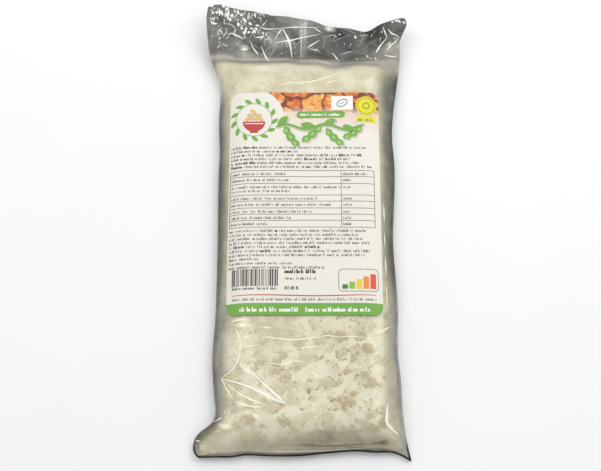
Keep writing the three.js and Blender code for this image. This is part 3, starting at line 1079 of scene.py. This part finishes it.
class TEMPEH_OT_folds(bpy.types.Operator):
    """Adds painted highlights along sharp folds, painted soft sheens and painted shade along folds of the
    film
    """

    bl_idname = "tempeh.folds"
    bl_label = "Film folds"

    def execute(self, context):
        film = context.scene.tempeh_film
        rng = random.Random(FOLD_SEED)
        sharp = (
            (STAR_FOLD_HIGHLIGHTS + EDGE_FOLD_HIGHLIGHTS + EMPTY_FOLD_HIGHLIGHTS, 0.95, 1, 1),
            (CORNER_FOLD_HIGHLIGHTS, 0.95, 1, 1.6),
            (CROSS_FOLD_HIGHLIGHTS, 0.75, 0.9, 1.2),
            (FAINT_FOLD_HIGHLIGHTS, 0.4, 0.6, 1.2),
            (glints(rng), 0.3, 0.9, 1.2),
            (wrinkles(rng), 0.08, 0.25, 1),
        )
        light = (film.tight_crease_highlight_color, film.crease_highlight_color)
        fold_piece("film_crease_highlights", sharp, SHARP, fold_material("Painted fold highlight", *light))
        soft = ((SHEENS, 0.85, 0.95, 1), (BROAD_SHEENS_AND_SEAM, 0.25, 0.35, 1))
        fold_piece("film_sheens", soft, SOFT, fold_material("Soft sheen", *light))
        dark = (film.fold_shade_color, film.fold_shade_color)
        shades = ((SHADES, 0.5, 0.6, 1), (BROAD_SHADES, 0.16, 0.2, 1))
        fold_piece("film_shades", shades, SOFT, fold_material("Painted fold shade", *dark))
        return {"FINISHED"}


# ---- The label ----

WHITE_FIELD = {"u": 14.1, "v": 18.3, "radius": 20.8}
PICTURE = {
    "foot": 13.8,
    "faded": 31.8,
    "faint": 0.32,
    "wisps": 8,
    "chunk": 19,
    "sway": (9, 8),
    "kinds": (0.3, 0.7),
    "brown": (0.5, 0.68),
    "pale": (0.5, 0.3),
    "gaps": (0.01, 0.07),
}
PICTURE_COLORS = {
    "dark crust": (216, 112, 38),
    "crust": (238, 168, 78),
    "brown crumb": (206, 96, 40),
    "pale crumb": (248, 200, 120),
    "dark ground": (92, 24, 26),
    "ground": (150, 60, 40),
}
BAND_TOP = 141.5
PRINT_EDGE = 0.12  # how far an ink's edge runs out
# The paper's fibres and wrinkles, with the size and detail of each grain.
FIBRES = {"stretch": (1, 0.45, 1), "grain": (0.7, 4), "light": 0.04, "depth": 0.02}
WRINKLED = {"stretch": (1, 0.4, 0), "grain": (9, 1), "depth": 0.16}
PAPER_ROUGHNESS = (0.2, 0.8, 0.35, 0.55)
INK_GRAIN = (22, 3)
UNEVENNESS = {"ink": 0.08, "paper": 0.05, "text": 0.3, "bars": 0.2}


def label_x(u):
    return LABEL_LOW.x + u * MM


def label_y(v):
    return LABEL_HIGH.y - v * MM


def paper_grain():
    """Fibres and uneven ink: a colour with its roughness and height, for paper and inks alike."""
    if "Paper grain" in bpy.data.node_groups:
        return bpy.data.node_groups["Paper grain"]
    tree = bpy.data.node_groups.new("Paper grain", "ShaderNodeTree")
    tree.interface.new_socket("Color", in_out="INPUT", socket_type="NodeSocketColor")
    tree.interface.new_socket("Unevenness", in_out="INPUT", socket_type="NodeSocketFloat")
    for name, kind in (("Color", "Color"), ("Roughness", "Float"), ("Height", "Float")):
        tree.interface.new_socket(name, in_out="OUTPUT", socket_type="NodeSocket" + kind)
    wiring = Wiring(tree)
    given = wiring.add("NodeGroupInput").node
    place = object_place(wiring)
    fibres = wiring.noise(wiring.vector("MULTIPLY", place, FIBRES["stretch"]), *FIBRES["grain"])
    clouds = wiring.noise(place, *INK_GRAIN)
    spread = wiring.times(wiring.minus(clouds, 0.5), given.outputs["Unevenness"])
    spread = wiring.math("MULTIPLY_ADD", wiring.minus(fibres, 0.5), FIBRES["light"], spread)
    color = wiring.scaled(given.outputs["Color"], wiring.math("ADD", spread, 1))
    roughness = wiring.step(fibres, *PAPER_ROUGHNESS)
    wiring.add("NodeGroupOutput", {"Color": color, "Roughness": roughness, "Height": fibres})
    return tree


def printed(wiring, color, unevenness):
    """The shader of paper or ink in that colour."""
    inputs = {"Color": wiring.rgba(color), "Unevenness": unevenness}
    node = wiring.add("ShaderNodeGroup", inputs, node_tree=paper_grain()).node
    color, roughness, height = node.outputs
    return wiring.surface(color, roughness, {"Normal": bumped(wiring, height, FIBRES["depth"] * MM)})


def ink(name, color, unevenness=UNEVENNESS["ink"]):
    material, wiring = new_material(name)
    show(wiring, printed(wiring, color, unevenness))
    return material


def food_picture(wiring, u, v):
    """Golden fried pieces on a dark red ground."""
    colors = {name: srgb(*color) for name, color in PICTURE_COLORS.items()}
    flat = wiring.joined(u, v, 0)
    swayed = wiring.swayed(flat, *PICTURE["sway"])
    edge = wiring.cells(swayed, PICTURE["chunk"], "DISTANCE_TO_EDGE")
    kind = wiring.split(wiring.cells(swayed, PICTURE["chunk"], output=1))[0]
    crumb = wiring.noise(swayed, 3, 5)
    crust = wiring.mix(wiring.step(kind, *PICTURE["kinds"]), colors["dark crust"], colors["crust"])
    crust = wiring.mix(wiring.step(crumb, *PICTURE["brown"]), crust, colors["brown crumb"])
    crust = wiring.mix(wiring.step(crumb, *PICTURE["pale"]), crust, colors["pale crumb"])
    ground = wiring.mix(wiring.noise(flat, 5), colors["dark ground"], colors["ground"])
    return wiring.mix(wiring.step(edge, *PICTURE["gaps"]), ground, crust)


def label_material(label):
    material, wiring = new_material("Printed paper")
    x, y, _z = wiring.split(object_place(wiring))
    u = wiring.minus(x, (LABEL_LOW.x - ZERO.x) / MM)
    v = wiring.minus((LABEL_HIGH.y - ZERO.y) / MM, y)
    flat = wiring.joined(u, v, 0)
    middle = (WHITE_FIELD["u"], WHITE_FIELD["v"], 0)
    from_field = wiring.vector("DISTANCE", flat, middle).node.outputs["Value"]
    beside = wiring.step(from_field, WHITE_FIELD["radius"], WHITE_FIELD["radius"] + PRINT_EDGE)
    right_of_field = wiring.step(u, WHITE_FIELD["u"], WHITE_FIELD["u"] + PRINT_EDGE)
    wisps = wiring.math("MULTIPLY_ADD", wiring.noise(flat, 12, 3), PICTURE["wisps"], v)
    strong = wiring.step(wisps, PICTURE["foot"] + PICTURE["wisps"], PICTURE["foot"])
    faint = wiring.step(wisps, PICTURE["faded"] + PICTURE["wisps"] / 2, PICTURE["foot"], 0, PICTURE["faint"])
    shown = wiring.times(wiring.math("MAXIMUM", strong, faint), wiring.times(beside, right_of_field))
    color = wiring.mix(shown, label.paper_color, food_picture(wiring, u, v))
    color = wiring.mix(wiring.step(v, BAND_TOP, BAND_TOP + PRINT_EDGE), color, label.green)
    show(wiring, printed(wiring, color, UNEVENNESS["paper"]))
    return material


def label_wrinkles(wiring, place, _normal):
    flat = wiring.vector("MULTIPLY", place, WRINKLED["stretch"])
    return wiring.joined(0, 0, wiring.times(wiring.noise(flat, *WRINKLED["grain"]), WRINKLED["depth"] * MM))


class TEMPEH_OT_label(bpy.types.Operator):
    """Adds the paper label with its picture and its band"""

    bl_idname = "tempeh.label"
    bl_label = "Label"

    def execute(self, context):
        label = context.scene.tempeh_label
        piece = merged_copy("label", "label_sheet")
        subdivide(piece)
        edit(piece)
        bpy.ops.transform.translate(value=(0, 0, -label.sink))
        leave_edit()
        shape_by(piece, "Label wrinkles", label_wrinkles)
        smooth(piece, 40)
        finish_piece(piece, label_material(label), "label_paper", "label")
        return {"FINISHED"}


# ---- Printed shapes ----

DRAWING_HEIGHT = 30 * MM  # shapes are drawn flat above the pack and then laid on the label
SLICE = 2  # shapes are cut this small, so that they follow the paper
INK_THICKNESS = 0.03
LIFT = 0.05  # the first layer of ink over the paper
LAYER = 0.05  # and each further one over the one before


def place_shape(piece, u, v, angle=0):
    """Turns a shape drawn at the origin and puts it at its place above the label."""
    piece.rotation_euler = (0, 0, angle)
    piece.location = (label_x(u), label_y(v), DRAWING_HEIGHT)
    select_only(piece)
    bpy.ops.object.transform_apply(location=True, rotation=True, scale=True)
    return piece


def disc(u, v, radius, longer=1, angle=0, vertices=32):
    """A filled circle, or an oval that is longer along its own x."""
    bpy.ops.mesh.primitive_circle_add(vertices=vertices, radius=radius * MM, fill_type="NGON")
    piece = bpy.context.object
    piece.scale = (longer, 1, 1)
    return place_shape(piece, u, v, angle)


def ring(u, v, radius, width, longer=1, angle=0):
    piece = disc(u, v, radius, longer, angle)
    hollow(piece, width)
    return piece


def hollow(piece, width):
    """Leaves only a rim of that width."""
    edit(piece)
    bpy.ops.mesh.inset(thickness=width * MM)
    bpy.ops.mesh.delete(type="FACE")
    leave_edit()


def box_shape(u0, v0, u1, v1, corner=0, angle=0):
    """A rectangle between two corners, with round corners if asked."""
    bpy.ops.mesh.primitive_plane_add(size=1)
    piece = bpy.context.object
    piece.scale = ((u1 - u0) * MM, (v1 - v0) * MM, 1)
    bpy.ops.object.transform_apply(location=True, rotation=True, scale=True)
    if corner:
        edit(piece, "VERT")
        bpy.ops.mesh.bevel(offset=corner * MM, segments=6, affect="VERTICES")
        leave_edit()
    return place_shape(piece, (u0 + u1) / 2, (v0 + v1) / 2, angle)


def leaf(u, v, length, width, angle):
    """A leaf with pointed ends, its stalk end at u and v."""
    bpy.ops.mesh.primitive_circle_add(vertices=24, radius=1, fill_type="NGON")
    piece = bpy.context.object
    for vertex in piece.data.vertices:
        along = vertex.co.x
        vertex.co.y *= (1 - along * along) ** 0.25 * width / 2 * MM
        vertex.co.x = (along + 1) * length / 2 * MM
    return place_shape(piece, u, v, angle)


def pod(u, v, length, width, angle):
    """A bean pod with three swellings and pointed ends."""
    bpy.ops.mesh.primitive_circle_add(vertices=60, radius=1, fill_type="NGON")
    piece = bpy.context.object
    for vertex in piece.data.vertices:
        along = vertex.co.x
        swelling = 0.8 - 0.2 * math.cos(3 * math.pi * (along + 1))
        bend = 0.18 * along * along
        side = math.copysign((1 - along**4) ** 0.8 * swelling / 2, vertex.co.y) if abs(along) < 1 else 0
        vertex.co.y = (side * width + bend * width) * MM
        vertex.co.x = along * length / 2 * MM
    return place_shape(piece, u, v, angle)


def brush_line(u0, u1, v, width, swing, waves, ends=0.5):
    """A hand drawn line that swings up and down and thins towards its ends."""
    bpy.ops.mesh.primitive_grid_add(x_subdivisions=60, y_subdivisions=1, size=2)
    piece = bpy.context.object
    for vertex in piece.data.vertices:
        share = (vertex.co.x + 1) / 2
        half = width / 2 * (1 - (1 - ends) * abs(vertex.co.x) ** 3)
        centre = swing * math.sin(2 * math.pi * waves * share)
        vertex.co.x = vertex.co.x * (u1 - u0) / 2 * MM
        vertex.co.y = (centre + vertex.co.y * half) * MM
    return place_shape(piece, (u0 + u1) / 2, v)


def slice_small(piece):
    """Cuts flat faces along a grid, so that they can bend with the paper."""
    mesh = bmesh.new()
    mesh.from_mesh(piece.data)
    for axis in (0, 1):
        places = [vertex.co[axis] / (SLICE * MM) for vertex in mesh.verts]
        for k in range(math.ceil(min(places)), math.floor(max(places)) + 1):
            at = [0, 0, 0]
            facing = [0, 0, 0]
            at[axis] = k * SLICE * MM
            facing[axis] = 1
            everything = mesh.verts[:] + mesh.edges[:] + mesh.faces[:]
            bmesh.ops.bisect_plane(mesh, geom=everything, plane_co=at, plane_no=facing)
    mesh.to_mesh(piece.data)
    mesh.free()


def lay_on_label(piece, layer):
    """Lays a flat piece on the paper as a thin layer of ink."""
    height = (LIFT + LAYER * layer) * MM
    apply(
        piece,
        "SHRINKWRAP",
        target=bpy.data.objects["label_sheet"],
        wrap_method="PROJECT",
        wrap_mode="ABOVE_SURFACE",
        use_project_z=True,
        use_positive_direction=False,
        use_negative_direction=True,
        offset=height,
    )
    apply(piece, "SOLIDIFY", thickness=INK_THICKNESS * MM, offset=1)
    smooth(piece, 30)


def print_shapes(name, material, shapes, layer=0):
    """Joins flat shapes into one printed piece on the label."""
    select_only(*shapes)
    if len(shapes) > 1:
        bpy.ops.object.join()
    piece = shapes[0]
    piece.name = name
    piece.data.name = name
    slice_small(piece)
    lay_on_label(piece, layer)
    finish_piece(piece, material, "label_paper")


def print_marks(name, material, marks, layer=0):
    """One printed piece of many small upright marks, each given as (u, v, width, height)."""
    mesh = bpy.data.meshes.new(name)
    mesh.from_pydata([(label_x(u), label_y(v), DRAWING_HEIGHT) for u, v, _w, _h in marks], [], [])
    sizes = mesh.attributes.new("size", "FLOAT_VECTOR", "POINT")
    for size, (_u, _v, width, height) in zip(sizes.data, marks):
        size.vector = (width * MM, height * MM, 1)
    piece = bpy.data.objects.new(name, mesh)
    bpy.context.scene.collection.objects.link(piece)
    tree = geometry_tree(name)
    wiring = Wiring(tree)
    square = {"Size X": 1, "Size Y": 1, "Vertices X": 2, "Vertices Y": 2}
    inputs = {
        "Points": wiring.add("NodeGroupInput"),
        "Instance": wiring.add("GeometryNodeMeshGrid", square),
        "Scale": named(wiring, "size", "FLOAT_VECTOR"),
    }
    copies = wiring.add("GeometryNodeInstanceOnPoints", inputs)
    wiring.add("NodeGroupOutput", {0: wiring.add("GeometryNodeRealizeInstances", {0: copies})})
    apply(piece, "NODES", node_group=tree)
    lay_on_label(piece, layer)
    finish_piece(piece, material, "label_paper")


# ---- What is printed ----

TEXT_SEED = 5
STROKE = 0.3
LETTER = 1
LINE = {"tall": 1.9, "low": 1.2}
TALL_CHANCE = 0.3
SECOND_STROKE = {"chance": 0.55, "after": 0.45, "height": 0.9}
WORD = {"letters": (2, 9), "spacing": (0.85, 1.1), "gap": 0.9, "heavy": 1.7}


def words(rng, u0, u1, v, size=1, bold=0):
    """Marks that stand in for one line of small print, with gaps between the words."""
    u = u0
    while u < u1:
        heavy = rng.random() < bold
        for _ in range(rng.randint(*WORD["letters"])):
            height = LINE["tall" if rng.random() < TALL_CHANCE else "low"] * size
            foot = v + LINE["tall"] * size / 2
            width = STROKE * size * (WORD["heavy"] if heavy else 1)
            yield u, foot - height / 2, width, height
            if rng.random() < SECOND_STROKE["chance"]:
                after = SECOND_STROKE["after"] * LETTER * size
                height = LINE["low"] * size * SECOND_STROKE["height"]
                yield u + after, foot - LINE["low"] * size / 2, width, height
            u += LETTER * size * rng.uniform(*WORD["spacing"])
            if u >= u1:
                return
        u += LETTER * size * WORD["gap"]


class TEMPEH_OT_emblem(bpy.types.Operator):
    """Prints the round emblem, a bowl of beans in a wreath"""

    bl_idname = "tempeh.emblem"
    bl_label = "Emblem"

    MIDDLE = (15.7, 19.4)
    LEAVES = 13
    WREATH = 11.4  # the radius at which the leaves stand
    BOWL = {"radius": 7.2, "drop": 1.2}  # its rim lies below the emblem's middle
    # Each bean's place from the middle and its angle.
    BEANS = (
        (-4.3, -0.4, 0.5),
        (-1.5, -0.9, -0.4),
        (1.6, -0.6, 0.3),
        (4.4, -0.3, -0.5),
        (-2.8, -3, -0.2),
        (0.4, -3.6, 0.4),
        (3.2, -2.8, 0.1),
        (-0.8, -6, -0.3),
    )

    def execute(self, context):
        label = context.scene.tempeh_label
        u, v = self.MIDDLE
        leaves = []
        for k in range(self.LEAVES):
            turn = 2 * math.pi * (k + 0.5) / self.LEAVES
            stalk = (u + self.WREATH * math.cos(turn), v + self.WREATH * math.sin(turn))
            leaves.append(leaf(*stalk, 5.4, 2.6, 0.95 - turn))
        leaves.append(ring(u, v, 11.6, 0.35))
        print_shapes("print_wreath", ink("Green ink", label.green), leaves)
        rim_v = v + self.BOWL["drop"]
        bowl = disc(u, rim_v, self.BOWL["radius"], vertices=48)
        edit(bowl)
        bpy.ops.mesh.bisect(plane_co=(0, label_y(rim_v), 0), plane_no=(0, 1, 0), clear_outer=True)
        leave_edit()
        foot = box_shape(u - 2.6, v + 8, u + 2.6, v + 9.2, corner=0.3)
        print_shapes("print_bowl", ink("Red ink", label.red), [bowl, foot])
        line = box_shape(u - 6, v + 2.4, u + 6, v + 3)
        print_shapes("print_bowl_line", ink("White ink", srgb(244, 241, 234)), [line], layer=1)
        beans = [disc(u + du, v + dv, 1.25, 1.45, angle, vertices=20) for du, dv, angle in self.BEANS]
        print_shapes("print_beans", ink("Bean ink", srgb(222, 184, 128)), beans, layer=1)
        return {"FINISHED"}


class TEMPEH_OT_sprig(bpy.types.Operator):
    """Prints the sprig of pods and leaves beside the emblem, with its soft shadow"""

    bl_idname = "tempeh.sprig"
    bl_label = "Sprig"

    # Each pod's middle or leaf's foot, with its length, width and angle.
    PODS = (
        (39, 31.4, 17, 5.6, -1),
        (53, 29.5, 17, 5.6, 0.75),
        (66.5, 31.8, 16, 5.4, -0.8),
        (79, 28.6, 15, 5.2, 0.6),
    )
    LEAVES = (
        (31, 24.3, 9.5, 5, 0.9),
        (45.5, 22.6, 9.5, 4.8, -0.2),
        (60, 23.4, 9, 4.6, 0.5),
        (72.5, 23, 9, 4.6, -0.6),
    )
    LIGHTS = (-0.62, 0, 0.62)  # places along a pod, as shares of half its length

    def shapes(self, du, dv, wider):
        """The twig with its pods and leaves, moved by du and dv and all of it that much wider."""
        parts = [brush_line(29.5 + du, 86 + du, 24.3 + dv, 2 + wider, 1.7, 2.2)]
        for draw, rows in ((pod, self.PODS), (leaf, self.LEAVES)):
            for u, v, length, width, angle in rows:
                parts.append(draw(u + du, v + dv, length + wider, width + wider, angle))
        return parts

    def execute(self, context):
        label = context.scene.tempeh_label
        print_shapes("print_sprig_shadow", ink("Shadow ink", srgb(206, 196, 184)), self.shapes(0.7, 0.9, 0.5))
        print_shapes("print_sprig", ink("Sprig ink", label.green), self.shapes(0, 0, 0), layer=1)
        lights = []
        for u, v, length, width, angle in self.PODS:
            for share in self.LIGHTS:
                along = share * length / 2
                place = (u + along * math.cos(angle), v - along * math.sin(angle))
                lights.append(disc(*place, width * 0.17, 1.5, angle, vertices=16))
        print_shapes("print_pod_lights", ink("Light green ink", srgb(160, 204, 120)), lights, layer=2)
        return {"FINISHED"}


class TEMPEH_OT_signs(bpy.types.Operator):
    """Prints the small signs along the top of the label"""

    bl_idname = "tempeh.signs"
    bl_label = "Signs"

    DISC = (87.5, 9.4)  # its middle

    def execute(self, context):
        label = context.scene.tempeh_label
        rng = random.Random(TEXT_SEED + 1)
        white = ink("Sign white", srgb(246, 244, 240))
        dark = ink("Sign dark", srgb(62, 60, 62))
        green = ink("Sign green", label.green)
        yellow = ink("Sign yellow", srgb(235, 219, 22))
        print_shapes("print_sign_ground", white, [box_shape(65.2, 2.6, 79.1, 12.3)])
        slant = 0.5
        bean = [ring(72.1, 7.5, 2.5, 0.5, 1.5, slant), box_shape(70.3, 7.3, 73.9, 7.7, angle=slant)]
        print_shapes("print_sign_bean", dark, bean, layer=1)
        print_shapes("print_disc", yellow, [disc(*self.DISC, 6.7, vertices=48)])
        rings = [ring(*self.DISC, 5.8, 0.5), ring(*self.DISC, 2.4, 0.8)]
        print_shapes("print_disc_rings", green, rings, layer=1)
        print_shapes("print_strip", yellow, [box_shape(81, 16.8, 93.4, 21, corner=0.8)])
        print_marks("print_strip_marks", green, list(words(rng, 82.4, 92, 18.9, 1.3, 1)), layer=1)
        pill = box_shape(43, 13.4, 73.8, 18, corner=2.2, angle=0.03)
        print_shapes("print_pill", green, [pill], layer=3)
        print_marks("print_pill_marks", white, list(words(rng, 45.5, 71.3, 15.7, 1, 0.5)), layer=4)
        return {"FINISHED"}


class TEMPEH_OT_table(bpy.types.Operator):
    """Prints the table and the lines of small print"""

    bl_idname = "tempeh.table"
    bl_label = "Table and small print"

    LEFT, RIGHT, COLUMN = 1.2, 91.7, 70.9
    HEAD_LEFT, ROW_LEFT, BODY_LEFT = 1.6, 2.2, 1.4
    RULES = (54.6, 58.8, 63.5, 71.2, 75.3, 79.9, 84, 88.1, 92.6)
    RULE_WIDTH = 0.32
    ROW_LENGTHS = (34, 36, 68, 54, 62, 50, 38, 22)
    HEAD_LENGTHS = (86, 42, 82, 75, 80, 89)
    HEAD_TOP, BODY_TOP, LINE_GAP = 38.6, 94.8, 2.65
    ROW_DROP, TWO_LINES = 2.2, 6  # a row's text below its rule, and how tall a row with two lines is
    BODY_LENGTHS = (84, 79, 82, 86, 56, 87, 84, 18, 39, 59)

    def execute(self, context):
        label = context.scene.tempeh_label
        rng = random.Random(TEXT_SEED)
        half = self.RULE_WIDTH / 2
        rules = [box_shape(self.LEFT, v - half, self.RIGHT, v + half) for v in self.RULES]
        for u in (self.LEFT, self.COLUMN, self.RIGHT):
            rules.append(box_shape(u - half, self.RULES[0], u + half, self.RULES[-1]))
        text = ink("Text ink", label.text_color, UNEVENNESS["text"])
        print_shapes("print_table", text, rules)
        marks = []
        for k, length in enumerate(self.HEAD_LENGTHS):
            v = self.HEAD_TOP + k * self.LINE_GAP
            marks += words(rng, self.HEAD_LEFT, self.HEAD_LEFT + length, v, bold=0.25)
        for top, bottom, length in zip(self.RULES, self.RULES[1:], self.ROW_LENGTHS):
            v = top + self.ROW_DROP
            marks += words(rng, self.ROW_LEFT, self.ROW_LEFT + length, v)
            if bottom - top > self.TWO_LINES:
                marks += words(rng, self.ROW_LEFT, self.ROW_LEFT + length * 0.55, v + self.LINE_GAP)
            marks += words(rng, self.COLUMN + 1.2, self.COLUMN + (17 if top == self.RULES[0] else 6), v)
        for k, length in enumerate(self.BODY_LENGTHS):
            v = self.BODY_TOP + k * self.LINE_GAP
            marks += words(rng, self.BODY_LEFT, self.BODY_LEFT + length, v, bold=0.1)
        print_marks("print_small_print", text, marks)
        return {"FINISHED"}


class TEMPEH_OT_foot(bpy.types.Operator):
    """Prints the foot of the label: bars, figures, five rising steps, the red line and the band's marks"""

    bl_idname = "tempeh.foot"
    bl_label = "Foot of the label"

    BARS = (3.4, 31, 125.4, 10.8)  # where they start and stop, their middle and how tall they are
    STEP_COLORS = ((60, 130, 82), (140, 190, 75), (240, 205, 60), (236, 145, 50), (222, 82, 50))

    def execute(self, context):
        label = context.scene.tempeh_label
        rng = random.Random(TEXT_SEED + 2)
        dark = ink("Dark ink", srgb(74, 72, 72), UNEVENNESS["bars"])
        bars = []
        u, stop, v, height = self.BARS
        while u < stop:
            width = rng.choice((0.33, 0.33, 0.66, 0.99))
            bars.append((u + width / 2, v, width, height))
            u += width + rng.choice((0.33, 0.4, 0.7))
        figures = list(words(rng, 3.8, 31.6, 132.1, 1.15))
        figures += words(rng, 36, 55.3, 121.3, 1.45, 1)
        figures += words(rng, 36, 54.8, 125.8, 1.05)
        figures += words(rng, 36, 43.3, 131.4, 1.8)
        print_marks("print_bars", dark, bars)
        print_marks("print_figures", dark, figures)
        outline = box_shape(68.5, 119.8, 93.1, 134.3, corner=2.6)
        hollow(outline, 0.4)
        print_shapes("print_steps_frame", ink("Grey ink", srgb(128, 128, 130)), [outline])
        for k, color in enumerate(self.STEP_COLORS):
            left = 70.8 + 4.3 * k
            step = box_shape(left, 129.8 - 1.7 * k, left + 3.5, 132.6, corner=0.6)
            print_shapes(f"print_step_{k + 1}", ink(f"Step ink {k + 1}", srgb(*color)), [step])
        line = brush_line(3.8, 91.3, 136.7, 0.62, 0.25, 1.3, 0.6)
        print_shapes("print_red_line", ink("Line ink", label.red), [line])
        address = list(words(rng, 4.2, 91.3, 139.1))
        print_marks("print_address", ink("Address ink", srgb(120, 114, 110)), address)
        band = [*words(rng, 8.9, 44.3, 145.6, 1.55, 1), *words(rng, 48.7, 87.3, 145.6, 1.55, 1)]
        print_marks("print_band_marks", ink("Band white", srgb(240, 243, 232)), band)
        return {"FINISHED"}


# ---- Floor, light and camera ----

TARGET = on_pack(-3.4, 0, 16.5)
FLOOR_RADIUS = 3
FLOOR_SHADE = (246, 246, 245)  # soft clouds on the floor
SKY_COLOR = (0.95, 0.975, 1, 1)
LAMP_COLOR = (1, 0.985, 0.96)
# Each lamp: direction from the pack, distance, width and length in metres, and power in watts.
LAMPS = (
    ("Key", (0.2, 0.75, 0.62), 1.4, 1, 1, 7.4),
    ("Soft left", (-0.42, 0.28, 0.86), 1.1, 0.3, 0.9, 1.9),
    ("Soft right", (0.6, 0.2, 0.77), 1.1, 0.3, 0.8, 1.7),
)


def floor_material(stage):
    material, wiring = new_material("Pale floor")
    place = object_place(wiring)
    color = wiring.mix(wiring.noise(place, 120, 3), stage.floor_color, srgb(*FLOOR_SHADE))
    show(wiring, wiring.surface(color, 0.8))
    return material


class TEMPEH_OT_stage(bpy.types.Operator):
    """Adds the floor, the light and the camera"""

    bl_idname = "tempeh.stage"
    bl_label = "Stage"

    def execute(self, context):
        stage = context.scene.tempeh_stage
        bpy.ops.object.select_all(action="DESELECT")
        bpy.ops.mesh.primitive_circle_add(vertices=96, radius=FLOOR_RADIUS, fill_type="NGON")
        floor = context.object
        floor.name = "floor"
        floor.data.materials.append(floor_material(stage))
        world = bpy.data.worlds.new("Daylight")
        world.use_nodes = True
        context.scene.world = world
        background = world.node_tree.nodes["Background"]
        background.inputs["Color"].default_value = SKY_COLOR
        background.inputs["Strength"].default_value = stage.daylight
        for name, direction, distance, width, length, power in LAMPS:
            place = TARGET + Vector(direction).normalized() * distance
            turn = Vector(direction).to_track_quat("Z", "Y").to_euler()
            bpy.ops.object.light_add(type="AREA", location=place, rotation=turn)
            lamp = context.object
            lamp.name = name
            lamp.data.shape = "RECTANGLE"
            lamp.data.size = width
            lamp.data.size_y = length
            lamp.data.energy = power
            lamp.data.color = LAMP_COLOR
        towards = Vector((0, -math.cos(stage.elevation), math.sin(stage.elevation)))
        turn = towards.to_track_quat("Z", "Y").to_euler()
        bpy.ops.object.camera_add(location=TARGET + towards * stage.distance, rotation=turn)
        camera = context.object
        camera.name = "camera"
        camera.data.lens = stage.lens
        camera.data.clip_end = 20
        context.scene.camera = camera
        context.scene.view_settings.view_transform = "Standard"
        return {"FINISHED"}


class TEMPEH_PT_panel(bpy.types.Panel):
    """The pack's sizes, colours and pieces"""

    bl_idname = "TEMPEH_PT_panel"
    bl_label = "Tempeh Pack"
    bl_space_type = "VIEW_3D"
    bl_region_type = "UI"
    bl_category = "Tempeh Pack"

    def draw(self, context):
        layout = self.layout
        for operator in OPERATORS:
            layout.operator(operator.bl_idname)
        for name, kind in PROPERTY_GROUPS.items():
            box = layout.box()
            for prop in kind.__annotations__:
                box.prop(getattr(context.scene, name), prop)


PROPERTY_GROUPS = {
    "tempeh_cake": TempehCakeProperties,
    "tempeh_film": TempehFilmProperties,
    "tempeh_label": TempehLabelProperties,
    "tempeh_stage": TempehStageProperties,
}
OPERATORS = (
    TEMPEH_OT_stage,
    TEMPEH_OT_cake,
    TEMPEH_OT_film,
    TEMPEH_OT_folds,
    TEMPEH_OT_label,
    TEMPEH_OT_emblem,
    TEMPEH_OT_sprig,
    TEMPEH_OT_signs,
    TEMPEH_OT_table,
    TEMPEH_OT_foot,
)


def register():
    for kind in (*PROPERTY_GROUPS.values(), *OPERATORS, TEMPEH_PT_panel):
        bpy.utils.register_class(kind)
    for name, kind in PROPERTY_GROUPS.items():
        setattr(bpy.types.Scene, name, PointerProperty(type=kind))


def unregister():
    for name in PROPERTY_GROUPS:
        delattr(bpy.types.Scene, name)
    for kind in reversed((*PROPERTY_GROUPS.values(), *OPERATORS, TEMPEH_PT_panel)):
        bpy.utils.unregister_class(kind)


def main():
    register()
    bpy.ops.tempeh.stage()
    bpy.ops.tempeh.cake()
    bpy.ops.tempeh.film()
    bpy.ops.tempeh.folds()
    bpy.ops.tempeh.label()
    bpy.ops.tempeh.emblem()
    bpy.ops.tempeh.sprig()
    bpy.ops.tempeh.signs()
    bpy.ops.tempeh.table()
    bpy.ops.tempeh.foot()


if __name__ == "__main__":
    main()
